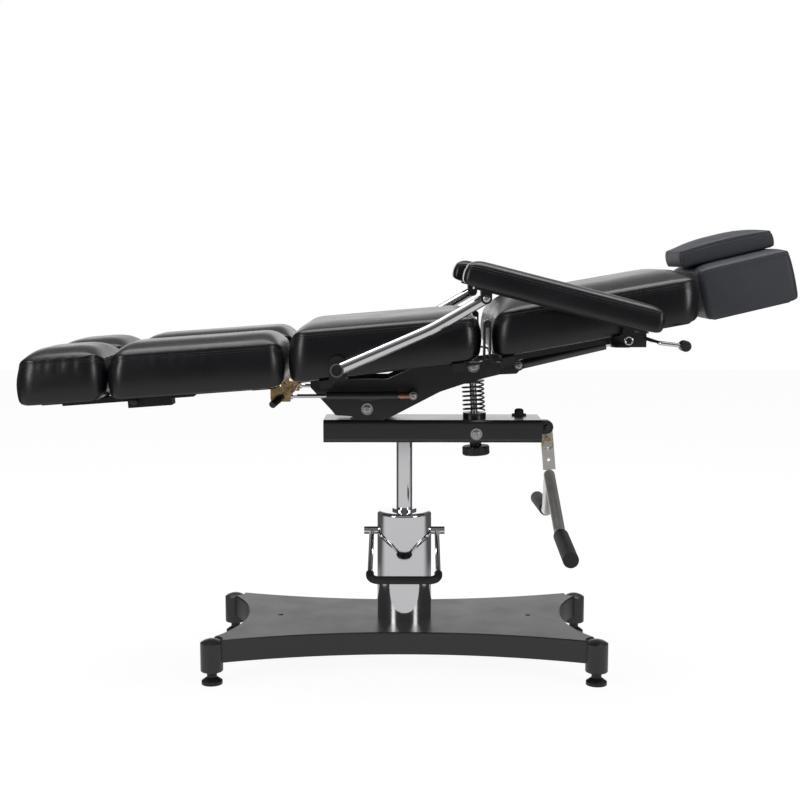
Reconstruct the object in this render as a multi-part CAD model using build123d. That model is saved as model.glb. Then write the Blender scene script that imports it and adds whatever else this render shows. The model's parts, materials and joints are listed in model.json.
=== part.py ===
from build123d import *
import os
from math import atan2, cos, degrees, pi, radians, sin, sqrt, tan

# Sizes in millimetres. Every piece is drawn about the swivel axis, and at the end all
# of them move along X so that the origin lies on the floor at the middle of the plan.
# +X points to the head end, +Z is up, and the left side of the chair is at -Y.

left_side, right_side = -1, 1
sides = (left_side, right_side)
overrun = 5.0
seat_gap = 0.3
running_fit = 0.05

# Base
column_spacing_x = 950.0
column_spacing_y = 452.0
column_radius = 28.0
column_bottom_z = 32.0
column_top_z = 104.0
column_dome_height = 10.0
plate_top_z = 112.0
plate_bottom_z = 55.0
plate_wall = 4.0
plate_side_mid_y = 163.0
plate_end_mid_x = 412.0
plate_corner_reach = 18.0
plate_edge_radius = 3.0
floor_hole_spacing = 650.0
floor_hole_radius = 7.0
foot_pad_radius = 26.0
foot_pad_height = 8.0
foot_neck_radius = 12.5
foot_neck_z = 18.0
foot_screw_radius = 8.0
foot_screw_length = 46.0

# Pump and lift
pump_cover_radius = 71.4
pump_cover_top_z = 393.5
pump_cover_wall = 2.5
pump_cover_rim_radius = 8.0
pump_body_radius = 50.0
pump_flange_radius = 64.0
pump_flange_height = 12.0
piston_radius = 21.0
piston_length = 383.0
gland_outer_radius = 32.0
gland_height = 8.0

# Pedal
pedal_pivot_z = 339.0
pedal_shaft_radius = 10.3
pedal_shaft_end_x = 105.0
pedal_socket_depth = 14.0
pedal_arm_x = 85.0
pedal_arm_radius = 6.5
pedal_bar_y = -205.0
pedal_bar_z = 256.0
pedal_bend_radius = 22.0
pedal_sleeve_radius = 9.3
pedal_sleeve_half_length = 62.0

# Beam
beam_bottom_z = 579.0
beam_height = 58.0
beam_half_width = 71.4
beam_foot_end_x = -206.0
beam_head_end_x = 350.0
beam_wall = 4.0
beam_corner_radius = 10.0
beam_seam_x = -36.0
beam_seam_width = 1.2
beam_seam_depth = 0.8
hub_radius = 33.0
piston_seat_depth = 39.0
bumper_x = 300.0
bumper_y = 40.0
bumper_flange_radius = 19.0
bumper_flange_height = 4.0
bumper_dome_radius = 12.0
bumper_height = 18.0

# Tilt pivot, where the seat frame is carried on the beam
tilt_pivot_x = -94.0
tilt_pivot_z = 667.0
tilt_tube_radius = 12.0
tilt_ear_y = 60.0
tilt_ear_thickness = 8.0
tilt_ear_radius = 22.0
tilt_ear_foot_length = 84.0
tilt_ear_foot_height = 4.0

# Tilt screw, its two trunnions, handwheel and spring
screw_top_x = 174.0
screw_top_z = 775.0
screw_low_x = 183.0
screw_low_z = 602.0
screw_radius = 9.0
screw_head_radius = 11.0
screw_head_height = 3.0
screw_play = 0.5
trunnion_radius = 12.0
trunnion_journal_radius = 7.0
upper_trunnion_half_width = 30.0
lower_trunnion_half_width = 60.0
spring_cup_drop = 42.0
spring_cup_radius = 30.0
spring_cup_height = 4.0
spring_collar_height = 13.0
spring_sleeve_radius = 13.0
spring_outer_radius = 29.5
spring_wire_radius = 2.3
spring_turns = 6.5
handwheel_radius = 35.5
handwheel_height = 23.0
handwheel_stem_radius = 15.0
handwheel_stem_height = 15.0
handwheel_notch_radius = 7.0
handwheel_notches = 10
washer_height = 2.5
washer_radius = 15.0
bolt_head_radius = 9.5
bolt_head_height = 6.0

# Swivel lock
lock_pivot_x = 367.0
lock_pivot_z = 612.0
lock_bar_width = 32.0
lock_bar_thickness = 8.0
lock_bar_low_x = 377.0
lock_bar_low_z = 500.0
lock_hole_radius = 4.0
lock_hole_spacing = 29.0
lock_ear_gap = 0.6
lock_ear_thickness = 6.0
lock_ear_radius = 18.0
fork_tube_radius = 14.5
fork_knee_x = 389.0
fork_knee_y = 150.0
fork_knee_z = 363.0
fork_bend_radius = 45.0
fork_end_x = 386.0
fork_end_y = 400.0
fork_end_z = 352.0
fork_grip_radius = 19.0
fork_grip_length = 225.0
pin_radius = 3.9
pin_length = 50.0
pin_ring_radius = 13.0
pin_ring_wire = 1.6

# Seat frame
side_plate_inner_y = 76.0
side_plate_thickness = 6.0
side_plate_left_x = -237.0
side_plate_right_x = 302.0
side_plate_bottom_z = 643.0
side_plate_top_z = 806.0
joggle_start_x = 205.0
joggle_end_x = 240.0
joggle_depth = 12.0
nose_bolt_x = 284.0
nose_bolt_z = 781.0
nose_tube_radius = 9.0
front_tube_x = -200.0
front_tube_z = 729.0
seat_slope = 7.2
seat_start_x = -276.0
seat_start_z = 750.0
seat_length = 464.0
seat_half_width = 300.0
seat_seam_start = 122.0
seat_seam_end = 102.0
seat_crown = 15.0
board_thickness = 14.0
board_inset = 22.0
board_drop = 2.0
rail_width = 30.0
rail_height = 20.0
rail_half_length = 296.0
front_rail_x = -187.0
rear_rail_x = 128.0

# Hinge between seat and back
back_pivot_x = 196.0
back_pivot_z = 893.0
strap_y = 280.0
strap_width = 30.0
strap_thickness = 5.0
knuckle_radius = 9.0
knuckle_gap = 0.8
hinge_pin_radius = 4.5

# Back
back_slope = 10.3
back_start_x = 209.0
back_start_z = 810.0
back_length = 500.0
back_half_width = 300.0
back_seam_start = 108.0
back_seam_end = 104.0
back_crown = 27.0
back_rail_y = 180.0
back_rail_end = 370.0
back_cross_start_y = 130.0
strut_lug_x = 555.0
strut_lug_z = 845.0
strut_lug_length = 88.0
strut_lug_height = 36.0
strut_lug_thickness = 4.0
strut_lug_gap = 32.0
recline_y = -112.0
recline_tube_radius = 12.0
recline_tube_length = 222.0
recline_rod_radius = 6.0
recline_eye_radius = 12.0
recline_eye_width = 25.0
recline_eye_bore = 5.0
crank_shaft_radius = 5.0
crank_x = 600.0
crank_z = 848.0
crank_outer_y = -292.0
crank_knob_x = 660.0
crank_knob_z = 841.0
crank_knob_radius = 13.0
crank_knob_length = 38.0

# Headrest and pillow
head_slope = 13.3
head_start_x = 741.0
head_start_z = 892.0
head_length = 233.0
head_half_width = 165.0
head_seam = 126.0
head_crown = 10.0
head_bar_y = 60.0
head_bar_radius = 8.0
head_bar_length = 350.0
head_sleeve_length = 180.0
head_board_thickness = 12.0
pillow_length = 237.0
pillow_half_width = 100.0
pillow_seam = 44.0
pillow_crown = 12.0
pillow_overhang = 20.0

# Armrests
arm_pivot_x = -156.0
arm_pivot_z = 787.0
arm_pin_x = 190.0
arm_pin_z = 954.0
arm_slot_x = 522.0
arm_slot_z = 856.0
arm_y = 332.0
arm_tube_radius = 13.5
arm_bend_radius = 500.0
arm_bend_x = 65.0
arm_bend_z = 882.0
arm_boss_radius = 20.0
arm_boss_rise = 12.0
arm_sleeve_radius = 16.5
arm_sleeve_rise = 0.2
arm_axle_radius = 12.5
arm_axle_recess = 5.0
arm_pad_slope = 14.3
arm_pad_start_x = 131.0
arm_pad_start_z = 988.0
arm_pad_length = 470.0
arm_pad_inner_y = 315.0
arm_pad_width = 90.0
arm_pad_seam = 52.0
arm_pad_crown = 12.0
arm_plate_thickness = 4.0
arm_plate_width = 60.0
arm_plate_length = 410.0
arm_cheek_thickness = 5.0
arm_cheek_radius = 13.0
arm_pin_radius = 6.0
arm_slot_play = 7.0
arm_slot_back = 28.0
arm_slot_lift = 4.0
arm_slot_front = 4.0
slot_plate_thickness = 5.0
slot_plate_rim = 2.8

# Leg rests
leg_slope = 4.2
leg_hinge_x = -279.0
leg_hinge_z = 722.0
leg_end_x = -284.0
leg_end_z = 742.0
leg_length = 424.0
leg_y = 160.0
leg_half_width = 141.0
leg_seam = 108.0
leg_crown = 23.0
leg_barrel_radius = 8.0
leg_barrel_length = 24.0
leg_barrel_y = 62.0
leg_strap_length = 60.0
leg_strap_thickness = 4.0
foot_gap = 4.0
foot_length = 218.0
foot_seam = 112.0
foot_crown = 22.0
foot_end_rounding = 60.0
foot_board_inset = 66.0
slide_bar_width = 40.0
slide_bar_height = 14.0
slide_bar_reach = 190.0
sleeve_wall = 4.0
sleeve_floor = 16.0
sleeve_length = 108.0
sleeve_start = 288.0
clamp_knob_radius = 11.0
clamp_stem_radius = 4.0
clamp_knob_x = 379.0
clamp_knob_drop = 14.0

# Leg lock struts
strut_y = 135.0
strut_rear_x = 22.0
strut_rear_z = 707.0
strut_front_x = -321.0
strut_front_z = 705.0
strut_housing_radius = 11.0
strut_housing_start = 37.0
strut_housing_length = 178.0
strut_nut_length = 5.0
strut_stud_radius = 8.0
strut_eye_radius = 10.0
strut_eye_width = 20.0
strut_rod_radius = 5.0
strut_rod_depth = 150.0
strut_block_length = 50.0
strut_block_ahead = 10.0
strut_block_height = 25.0
strut_block_width = 22.0
strut_cheek_thickness = 4.0
strut_cheek_gap = 1.0
strut_cheek_width = 20.0
lever_length = 36.0
lever_radius = 9.0
lever_stem_radius = 4.0
lever_start = 18.0
lever_run_shares = (-0.44, 0.83, -0.35)

# Cushion ends: distance from the end and drop of the seam, as shares of the end radius
cushion_end_radius = 38.0
block_end_radius = 18.0
pad_end_radii = (20.0, 14.0)
end_round_shares = ((0.0, 0.6), (0.12, 0.37), (0.35, 0.16), (0.7, 0.03), (1.0, 0.0))
middle_shares = (0.2, 0.35, 0.5, 0.65, 0.8)
bottom_lift_share = 0.45
side_draw = 9.0
crown_at_end_share = 0.35


# Values that follow from the sizes above
beam_top_z = beam_bottom_z + beam_height
piston_top_z = beam_bottom_z + piston_seat_depth
screw_lean = degrees(atan2(screw_low_x - screw_top_x, screw_top_z - screw_low_z))
screw_frame = Pos(screw_top_x, 0, screw_top_z) * Rot(0, -screw_lean, 0)
screw_length = (screw_top_z - beam_bottom_z) / cos(radians(screw_lean))
side_plate_outer_y = side_plate_inner_y + side_plate_thickness
seat_frame = Pos(seat_start_x, 0, seat_start_z) * Rot(0, -seat_slope, 0)
back_frame = Pos(back_start_x, 0, back_start_z) * Rot(0, -back_slope, 0)
head_frame = Pos(head_start_x, 0, head_start_z) * Rot(0, -head_slope, 0)
leg_frame = Pos(leg_end_x, 0, leg_end_z) * Rot(0, -leg_slope, 0)
arm_pad_frame = Pos(arm_pad_start_x, 0, arm_pad_start_z) * Rot(0, arm_pad_slope, 0)


def box_between(low, high):
    """A box from its lowest corner to its highest corner."""
    size = [b - a for a, b in zip(low, high)]
    middle = [(a + b) / 2 for a, b in zip(low, high)]
    return Pos(*middle) * Box(*size)


def rod_between(start, end, radius):
    """A round bar from one point to another."""
    run = Vector(*end) - Vector(*start)
    return extrude(Plane(origin=start, z_dir=run) * Circle(radius), amount=run.length)


def cross_bar(x, z, y_low, y_high, radius):
    """A round bar across the chair."""
    return rod_between((x, y_low, z), (x, y_high, z), radius)


def pipe(points, bend, radius, wall=0):
    """A bent round tube, or a solid rod where it has no wall."""
    path = FilletPolyline(*points, radius=bend)
    section = Circle(radius)
    if wall:
        section -= Circle(radius - wall)
    return sweep(Plane(origin=path @ 0, z_dir=path % 0) * section, path=path)


def upright_plate(outline, y_low, thickness):
    """A flat plate standing along the chair, from its outline in x and z."""
    flat = extrude(outline, amount=thickness)
    return Pos(0, y_low, 0) * Rot(90, 0, 0) * Pos(0, 0, -thickness) * flat


def polygon(points):
    return make_face(Polyline(*points, close=True))


def cushion_section(x, z, half_width, seam, crown, draw):
    """One crowned slice of a cushion, with sides that pull in at the seams."""
    edge = half_width - draw
    bottom = Line((-edge, 0), (edge, 0))
    near = ThreePointArc((edge, 0), (half_width, seam / 2), (edge, seam))
    top = ThreePointArc((edge, seam), (0, seam + crown), (-edge, seam))
    far = ThreePointArc((-edge, seam), (-half_width, seam / 2), (-edge, 0))
    plane = Plane(origin=(x, 0, z), x_dir=(0, 1, 0), z_dir=(1, 0, 0))
    return plane * make_face([bottom, near, top, far])


def cushion(length, half_width, seams, crown, slope=0, end_radii=None, draw=side_draw):
    """A crowned cushion along +X, its ends rounded over their radii."""
    radii = end_radii or (cushion_end_radius, cushion_end_radius)
    start = [(share * radii[0], drop * radii[0]) for share, drop in end_round_shares]
    end = [(length - share * radii[1], drop * radii[1]) for share, drop in end_round_shares]
    middle = [(share * length, 0) for share in middle_shares]
    slices = []
    for x, drop in start + middle + end[::-1]:
        share = x / length
        lift = drop * bottom_lift_share
        seam = seams[0] + (seams[1] - seams[0]) * share - drop - lift
        swell = 1 - (1 - crown_at_end_share) * (2 * share - 1) ** 4
        slices.append(cushion_section(x, x * tan(radians(slope)) + lift, half_width - drop / 2,
                                      seam, crown * swell, draw))
    return loft(slices, ruled=True)


def button_head(x, z, y_face, side, washer=washer_radius, head=bolt_head_radius):
    """A domed bolt head on its washer, standing out from a face across the chair."""
    disc = cross_bar(x, z, y_face, y_face + side * washer_height, washer)
    y_head = y_face + side * washer_height
    cap = cross_bar(x, z, y_head, y_head + side * bolt_head_height, head)
    rim = cap.faces().sort_by(Axis.Y)[-1 if side > 0 else 0].edges()
    return disc + fillet(rim, bolt_head_height / 2)


def base_outline(inset=0):
    """The plan of the base plate: four sides that curve inward between the columns."""
    x, y = column_spacing_x / 2, column_spacing_y / 2
    reach = plate_corner_reach
    corners = [(x, y + reach), (x + reach, y)]
    edges = []
    for sx in sides:
        edges.append(ThreePointArc((sx * (x + reach), -y), (sx * plate_end_mid_x, 0),
                                   (sx * (x + reach), y)))
    for sy in sides:
        edges.append(ThreePointArc((-x, sy * (y + reach)), (0, sy * plate_side_mid_y),
                                   (x, sy * (y + reach))))
        for sx in sides:
            ends = [(sx * px, sy * py) for px, py in corners]
            edges.append(Line(*ends))
    outline = make_face(Wire(Curve() + edges))
    return offset(outline, amount=-inset) if inset else outline


def column_places():
    x, y = column_spacing_x / 2, column_spacing_y / 2
    return [(sx * x, sy * y) for sx in sides for sy in sides]


def make_base_plate():
    height = plate_top_z - plate_bottom_z
    shell = extrude(Pos(0, 0, plate_bottom_z) * base_outline(), amount=height)
    inside = extrude(Pos(0, 0, plate_bottom_z - overrun) * base_outline(plate_wall),
                     amount=height + overrun - plate_wall)
    plate = shell - inside
    for x, y in column_places():
        plate -= Pos(x, y, plate_bottom_z) * Cylinder(column_radius, height * 3)
    top_edges = plate.faces().sort_by(Axis.Z)[-1].edges()
    plate = chamfer(top_edges.filter_by(lambda edge: edge.length > plate_side_mid_y), plate_edge_radius)
    for sx in sides:
        plate -= Pos(sx * floor_hole_spacing / 2, 0, plate_top_z) * Cylinder(
            floor_hole_radius, plate_wall * 4)
    return plate


def make_columns():
    height = column_top_z - column_bottom_z
    socket = foot_screw_length + overrun
    columns = []
    for x, y in column_places():
        body = Pos(0, 0, column_bottom_z) * Cylinder(column_radius, height, align=(
            Align.CENTER, Align.CENTER, Align.MIN))
        body = fillet(body.edges().sort_by(Axis.Z)[0], plate_edge_radius)
        ball = (column_radius ** 2 + column_dome_height ** 2) / (2 * column_dome_height)
        dome = Pos(0, 0, column_top_z + column_dome_height - ball) * Sphere(ball)
        dome &= box_between((-column_radius, -column_radius, column_top_z),
                            (column_radius, column_radius, column_top_z + column_dome_height))
        bore = Pos(0, 0, column_bottom_z) * Cylinder(
            foot_screw_radius + running_fit, socket, align=(Align.CENTER, Align.CENTER, Align.MIN))
        columns.append(Pos(x, y, 0) * (body + dome - bore))
    return columns


def make_foot(x, y):
    profile = polygon([(0, 0), (foot_pad_radius, 0), (foot_pad_radius, foot_pad_height),
                       (foot_neck_radius, foot_neck_z), (foot_neck_radius, column_bottom_z),
                       (foot_screw_radius, column_bottom_z),
                       (foot_screw_radius, column_bottom_z + foot_screw_length),
                       (0, column_bottom_z + foot_screw_length)])
    return Pos(x, y, 0) * revolve(Plane.XZ * profile, axis=Axis.Z)


def make_pump_cover():
    height = pump_cover_top_z - plate_top_z
    low = (Align.CENTER, Align.CENTER, Align.MIN)
    cover = Pos(0, 0, plate_top_z) * Cylinder(pump_cover_radius, height, align=low)
    cover = fillet(cover.edges().sort_by(Axis.Z)[-1], pump_cover_rim_radius)
    inside = pump_cover_radius - pump_cover_wall
    cover -= Pos(0, 0, plate_top_z) * Cylinder(inside, height - pump_cover_wall, align=low)
    cover -= Pos(0, 0, plate_top_z) * Cylinder(gland_outer_radius, height * 2, align=low)
    window = pedal_shaft_radius + pump_cover_wall
    cover -= rod_between((-pump_cover_radius * 2, 0, pedal_pivot_z),
                         (pump_cover_radius * 2, 0, pedal_pivot_z), window)
    return cover


def make_pump_cylinder():
    """The hydraulic cylinder under the cover, and the gland seal round the piston."""
    low = (Align.CENTER, Align.CENTER, Align.MIN)
    top_z = pump_cover_top_z - pump_cover_wall
    body = Pos(0, 0, plate_top_z) * Cylinder(pump_body_radius, top_z - plate_top_z, align=low)
    body += Pos(0, 0, plate_top_z) * Cylinder(pump_flange_radius, pump_flange_height, align=low)
    bore = piston_radius + running_fit
    body -= Pos(0, 0, plate_top_z + overrun) * Cylinder(bore, top_z, align=low)
    stub = pump_body_radius - pedal_socket_depth
    for sx in sides:
        body -= rod_between((sx * stub, 0, pedal_pivot_z),
                            (sx * pump_cover_radius, 0, pedal_pivot_z),
                            pedal_shaft_radius + running_fit)
    gland = Pos(0, 0, top_z) * Cylinder(gland_outer_radius, gland_height, align=low)
    gland = fillet(gland.edges().sort_by(Axis.Z)[-1], gland_height / 4)
    gland -= Pos(0, 0, top_z) * Cylinder(bore, gland_height * 3)
    return [body, gland]


def make_piston():
    return Pos(0, 0, piston_top_z - piston_length / 2) * Cylinder(piston_radius, piston_length)


def make_pedal():
    path = [(-pedal_arm_x, 0, pedal_pivot_z), (-pedal_arm_x, pedal_bar_y, pedal_bar_z),
            (pedal_arm_x, pedal_bar_y, pedal_bar_z), (pedal_arm_x, 0, pedal_pivot_z)]
    pedal = pipe(path, pedal_bend_radius, pedal_arm_radius)
    inner = pump_body_radius - pedal_socket_depth + seat_gap
    for sx in sides:
        pedal += rod_between((sx * inner, 0, pedal_pivot_z),
                             (sx * pedal_shaft_end_x, 0, pedal_pivot_z), pedal_shaft_radius)
    return pedal


def make_pedal_sleeve():
    half = pedal_sleeve_half_length
    ends = [(sx * half, pedal_bar_y, pedal_bar_z) for sx in sides]
    sleeve = rod_between(*ends, pedal_sleeve_radius)
    sleeve = fillet(sleeve.edges().filter_by(GeomType.CIRCLE), pedal_sleeve_radius / 5)
    return sleeve - rod_between(*ends, pedal_arm_radius)


def make_beam():
    length = beam_head_end_x - beam_foot_end_x
    middle = (beam_head_end_x + beam_foot_end_x) / 2
    centre = Pos(middle, 0, beam_bottom_z + beam_height / 2)
    beam = Box(length, beam_half_width * 2, beam_height)
    beam = fillet(beam.edges().filter_by(Axis.X), beam_corner_radius)
    inner = Box(length - beam_wall * 2, (beam_half_width - beam_wall) * 2,
                beam_height - beam_wall * 2)
    beam -= fillet(inner.edges().filter_by(Axis.X), beam_corner_radius - beam_wall)
    beam = centre * beam
    seam = Box(beam_seam_width, beam_half_width * 2, beam_height)
    seam -= Box(beam_seam_width, (beam_half_width - beam_seam_depth) * 2,
                beam_height - beam_seam_depth * 2)
    beam -= Pos(beam_seam_x, 0, beam_bottom_z + beam_height / 2) * seam
    beam -= Pos(0, 0, beam_bottom_z) * Cylinder(hub_radius, beam_wall * 3)
    slot = screw_radius * 2
    beam -= Pos(screw_low_x, 0, beam_bottom_z) * Box(slot * 2, slot + beam_wall, beam_height * 3)
    beam -= cross_bar(screw_low_x, screw_low_z, -beam_half_width * 2, beam_half_width * 2,
                      trunnion_journal_radius + running_fit * 2)
    return beam


def make_beam_fittings():
    """The hub that takes the piston, and the bracket of the tilt pivot."""
    low = (Align.CENTER, Align.CENTER, Align.MIN)
    height = beam_height - beam_wall
    hub = Pos(0, 0, beam_bottom_z) * Cylinder(hub_radius, height, align=low)
    hub -= Pos(0, 0, beam_bottom_z - overrun) * Cylinder(
        piston_radius + running_fit, piston_seat_depth + overrun, align=low)
    half = tilt_ear_foot_length / 2
    foot = box_between((tilt_pivot_x - half, -tilt_ear_y - tilt_ear_thickness, beam_top_z),
                       (tilt_pivot_x + half, tilt_ear_y + tilt_ear_thickness,
                        beam_top_z + tilt_ear_foot_height))
    ear = Pos(tilt_pivot_x, tilt_pivot_z) * Circle(tilt_ear_radius)
    ear += polygon([(tilt_pivot_x - half, beam_top_z), (tilt_pivot_x + half, beam_top_z),
                    (tilt_pivot_x + tilt_ear_radius, tilt_pivot_z),
                    (tilt_pivot_x - tilt_ear_radius, tilt_pivot_z)])
    ear -= Pos(tilt_pivot_x, tilt_pivot_z) * Circle(tilt_tube_radius + running_fit * 2)
    bracket = foot
    bracket += upright_plate(ear, tilt_ear_y, tilt_ear_thickness)
    bracket += upright_plate(ear, -tilt_ear_y - tilt_ear_thickness, tilt_ear_thickness)
    return [hub, bracket]


def collar_x():
    return screw_low_x - (beam_top_z - screw_low_z) * tan(radians(screw_lean))


def make_spring_collar():
    low = (Align.CENTER, Align.CENTER, Align.MIN)
    collar = Pos(collar_x(), 0, beam_top_z) * Cylinder(
        spring_cup_radius, spring_collar_height, align=low)
    collar -= Pos(collar_x(), 0, beam_top_z) * Cylinder(
        screw_radius * 1.6, spring_collar_height * 3)
    return collar


def make_bumper():
    low = (Align.CENTER, Align.CENTER, Align.MIN)
    flange = Cylinder(bumper_flange_radius, bumper_flange_height, align=low)
    dome = Cylinder(bumper_dome_radius, bumper_height, align=low)
    dome = fillet(dome.edges().sort_by(Axis.Z)[-1], bumper_dome_radius * 0.6)
    return Pos(bumper_x, bumper_y, beam_top_z) * (flange + dome)


def trunnion(x, z, block_half, wall_y):
    """A cross pin with a thick middle and a bolt head on its washer at each end."""
    pin = cross_bar(x, z, -block_half, block_half, trunnion_radius)
    pin += cross_bar(x, z, -wall_y - seat_gap, wall_y + seat_gap, trunnion_journal_radius)
    for side in sides:
        pin += button_head(x, z, side * (wall_y + seat_gap), side)
    return pin


def make_lower_trunnion():
    pin = trunnion(screw_low_x, screw_low_z, lower_trunnion_half_width, beam_half_width)
    pin -= screw_frame * Cylinder(screw_radius + screw_play, screw_length * 3)
    return pin


def make_upper_trunnion():
    """The cross pin that carries the screw, with the cup of the spring under it."""
    pin = trunnion(screw_top_x, screw_top_z, upper_trunnion_half_width, side_plate_outer_y)
    sleeve = Pos(0, 0, -spring_cup_drop / 2) * Cylinder(spring_sleeve_radius, spring_cup_drop)
    cup = Pos(0, 0, -spring_cup_drop - spring_cup_height / 2) * Cylinder(
        spring_cup_radius, spring_cup_height)
    pin += screw_frame * (sleeve + cup)
    pin -= screw_frame * Cylinder(screw_radius + running_fit * 2, screw_length)
    return pin


def make_tilt_screw():
    bottom = screw_length + handwheel_stem_height + handwheel_height - seat_gap
    top = trunnion_radius + running_fit
    low = (Align.CENTER, Align.CENTER, Align.MIN)
    screw = Pos(0, 0, -bottom) * Cylinder(screw_radius, bottom + top, align=low)
    screw += Pos(0, 0, top) * Cylinder(screw_head_radius, screw_head_height, align=low)
    return screw_frame * screw


def make_handwheel():
    low = (Align.CENTER, Align.CENTER, Align.MIN)
    top = screw_length + seat_gap * 5
    stem = Pos(0, 0, -top - handwheel_stem_height) * Cylinder(
        handwheel_stem_radius, handwheel_stem_height, align=low)
    base = top + handwheel_stem_height + handwheel_height
    disc = Pos(0, 0, -base) * Cylinder(handwheel_radius, handwheel_height, align=low)
    disc = chamfer(disc.edges().filter_by(GeomType.CIRCLE), handwheel_height / 8)
    for turn in range(handwheel_notches):
        disc -= Rot(0, 0, 360 * turn / handwheel_notches) * Pos(
            handwheel_radius + handwheel_notch_radius / 2, 0, -base) * Cylinder(
            handwheel_notch_radius, handwheel_height * 3)
    wheel = stem + disc
    wheel -= Pos(0, 0, -base) * Cylinder(screw_radius, base * 3)
    return screw_frame * wheel


def helix_point(angle, radius, rise):
    return Vector(radius * cos(angle), radius * sin(angle), rise * angle / (2 * pi))


def helix_tangent(angle, radius, rise):
    return Vector(-radius * sin(angle), radius * cos(angle), rise / (2 * pi)).normalized()


def biarc(start, end, start_tangent, end_tangent):
    """Two arcs that join two points with the given tangents."""
    run = end - start
    both = start_tangent + end_tangent
    spread = 2 * (1 - start_tangent.dot(end_tangent))
    along = run.dot(both)
    reach = (-along + sqrt(along ** 2 + spread * run.dot(run))) / spread
    middle = (start + end + (start_tangent - end_tangent) * reach) * 0.5
    middle_tangent = (end - end_tangent * reach - start - start_tangent * reach).normalized()
    return [TangentArc(start, middle, tangent=start_tangent),
            TangentArc(middle, end, tangent=middle_tangent)]


def make_tilt_spring():
    """The compression spring round the screw, one unbroken tube on half turns of biarcs."""
    radius = spring_outer_radius - spring_wire_radius
    cup_face = spring_cup_drop + spring_cup_height + seat_gap + spring_wire_radius
    lean = cos(radians(screw_lean))
    collar_face = (screw_top_z - beam_top_z - spring_collar_height) / lean
    collar_face -= seat_gap * 5 + spring_wire_radius
    rise = (collar_face - cup_face) / spring_turns
    print("spring gap between turns", round(rise - 2 * spring_wire_radius, 2))
    arcs = []
    for half in range(int(spring_turns * 2)):
        a, b = half * pi, (half + 1) * pi
        arcs += biarc(helix_point(a, radius, rise), helix_point(b, radius, rise),
                      helix_tangent(a, radius, rise), helix_tangent(b, radius, rise))
    path = Wire(arcs)
    section = Plane(origin=path @ 0, z_dir=path % 0) * Circle(spring_wire_radius)
    return screw_frame * Pos(0, 0, -collar_face) * sweep(section, path=path)


def make_lock_bar():
    """The flat bar that hangs from the beam's end, with its row of holes."""
    run = Vector(lock_bar_low_x - lock_pivot_x, 0, lock_bar_low_z - lock_pivot_z)
    lean = degrees(atan2(run.X, -run.Z))
    length = run.length
    half = lock_bar_width / 2
    outline = Circle(half) + Pos(0, -length / 2) * Rectangle(lock_bar_width, length)
    outline -= Circle(trunnion_journal_radius + running_fit)
    for number in range(3):
        outline -= Pos(0, -lock_hole_spacing * (number + 1)) * Circle(lock_hole_radius)
    bar = extrude(outline, amount=lock_bar_thickness / 2, both=True)
    return Pos(lock_pivot_x, 0, lock_pivot_z) * Rot(0, -lean, 0) * Rot(90, 0, 0) * bar


def make_fork_tube():
    apex = (lock_bar_low_x, 0, lock_bar_low_z - fork_tube_radius)
    halves = []
    for side in sides:
        points = [apex, (fork_knee_x, side * fork_knee_y, fork_knee_z),
                  (fork_end_x, side * fork_end_y, fork_end_z)]
        halves.append(pipe(points, fork_bend_radius, fork_tube_radius))
    joint = Pos(*apex) * Sphere(fork_tube_radius)
    return halves[0] + halves[1] + joint


def fork_end_direction():
    knee = Vector(fork_knee_x, fork_knee_y, fork_knee_z)
    end = Vector(fork_end_x, fork_end_y, fork_end_z)
    return end, (knee - end).normalized()


def make_fork_grips():
    end, inward = fork_end_direction()
    grips = []
    for side in sides:
        outer = end - inward * overrun
        inner = end + inward * fork_grip_length
        ends = [(p.X, side * p.Y, p.Z) for p in (outer, inner)]
        grip = rod_between(*ends, fork_grip_radius)
        grip = fillet(grip.edges().filter_by(GeomType.CIRCLE), fork_grip_radius / 4)
        core = [(p.X, side * p.Y, p.Z) for p in (end, inner + inward * overrun)]
        grips.append(grip - rod_between(*core, fork_tube_radius))
    return grips


def make_lock_fork():
    tube = make_fork_tube()
    bar = make_lock_bar() - tube
    return [bar, tube]


def make_linch_pin():
    """A pin through the bar's first hole, with its spring ring."""
    lean = atan2(lock_bar_low_x - lock_pivot_x, lock_pivot_z - lock_bar_low_z)
    x = lock_pivot_x + lock_hole_spacing * sin(lean)
    z = lock_pivot_z - lock_hole_spacing * cos(lean)
    pin = cross_bar(x, z, -pin_length * 0.6, pin_length * 0.4, pin_radius)
    head_y = -pin_length * 0.6
    pin += cross_bar(x, z, head_y - pin_radius, head_y, pin_radius * 1.6)
    centre = Pos(x, head_y + pin_radius, z - pin_ring_radius)
    pin += centre * Rot(90, 0, 0) * Torus(pin_ring_radius, pin_ring_wire)
    return pin


def make_beam_lock_ears():
    """The two ears on the beam's end that carry the flat bar."""
    inner = lock_bar_thickness / 2 + lock_ear_gap
    ears = []
    for side in sides:
        ear = Pos(lock_pivot_x, lock_pivot_z) * Circle(lock_ear_radius)
        ear += polygon([(beam_head_end_x, lock_pivot_z - lock_ear_radius),
                        (lock_pivot_x, lock_pivot_z - lock_ear_radius),
                        (lock_pivot_x, lock_pivot_z + lock_ear_radius),
                        (beam_head_end_x, lock_pivot_z + lock_ear_radius)])
        ear &= Pos(beam_head_end_x + lock_ear_radius * 2, lock_pivot_z) * Rectangle(
            lock_ear_radius * 4, lock_ear_radius * 4)
        y_low = inner if side > 0 else -inner - lock_ear_thickness
        plate = upright_plate(ear, y_low, lock_ear_thickness)
        ears.append(plate)
    outer = inner + lock_ear_thickness
    pin = cross_bar(lock_pivot_x, lock_pivot_z, -outer, outer, trunnion_journal_radius)
    for side in sides:
        pin += button_head(lock_pivot_x, lock_pivot_z, side * outer, side,
                           washer=lock_ear_radius * 0.7, head=trunnion_journal_radius)
    return [ears[0] + ears[1] + pin]


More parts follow.
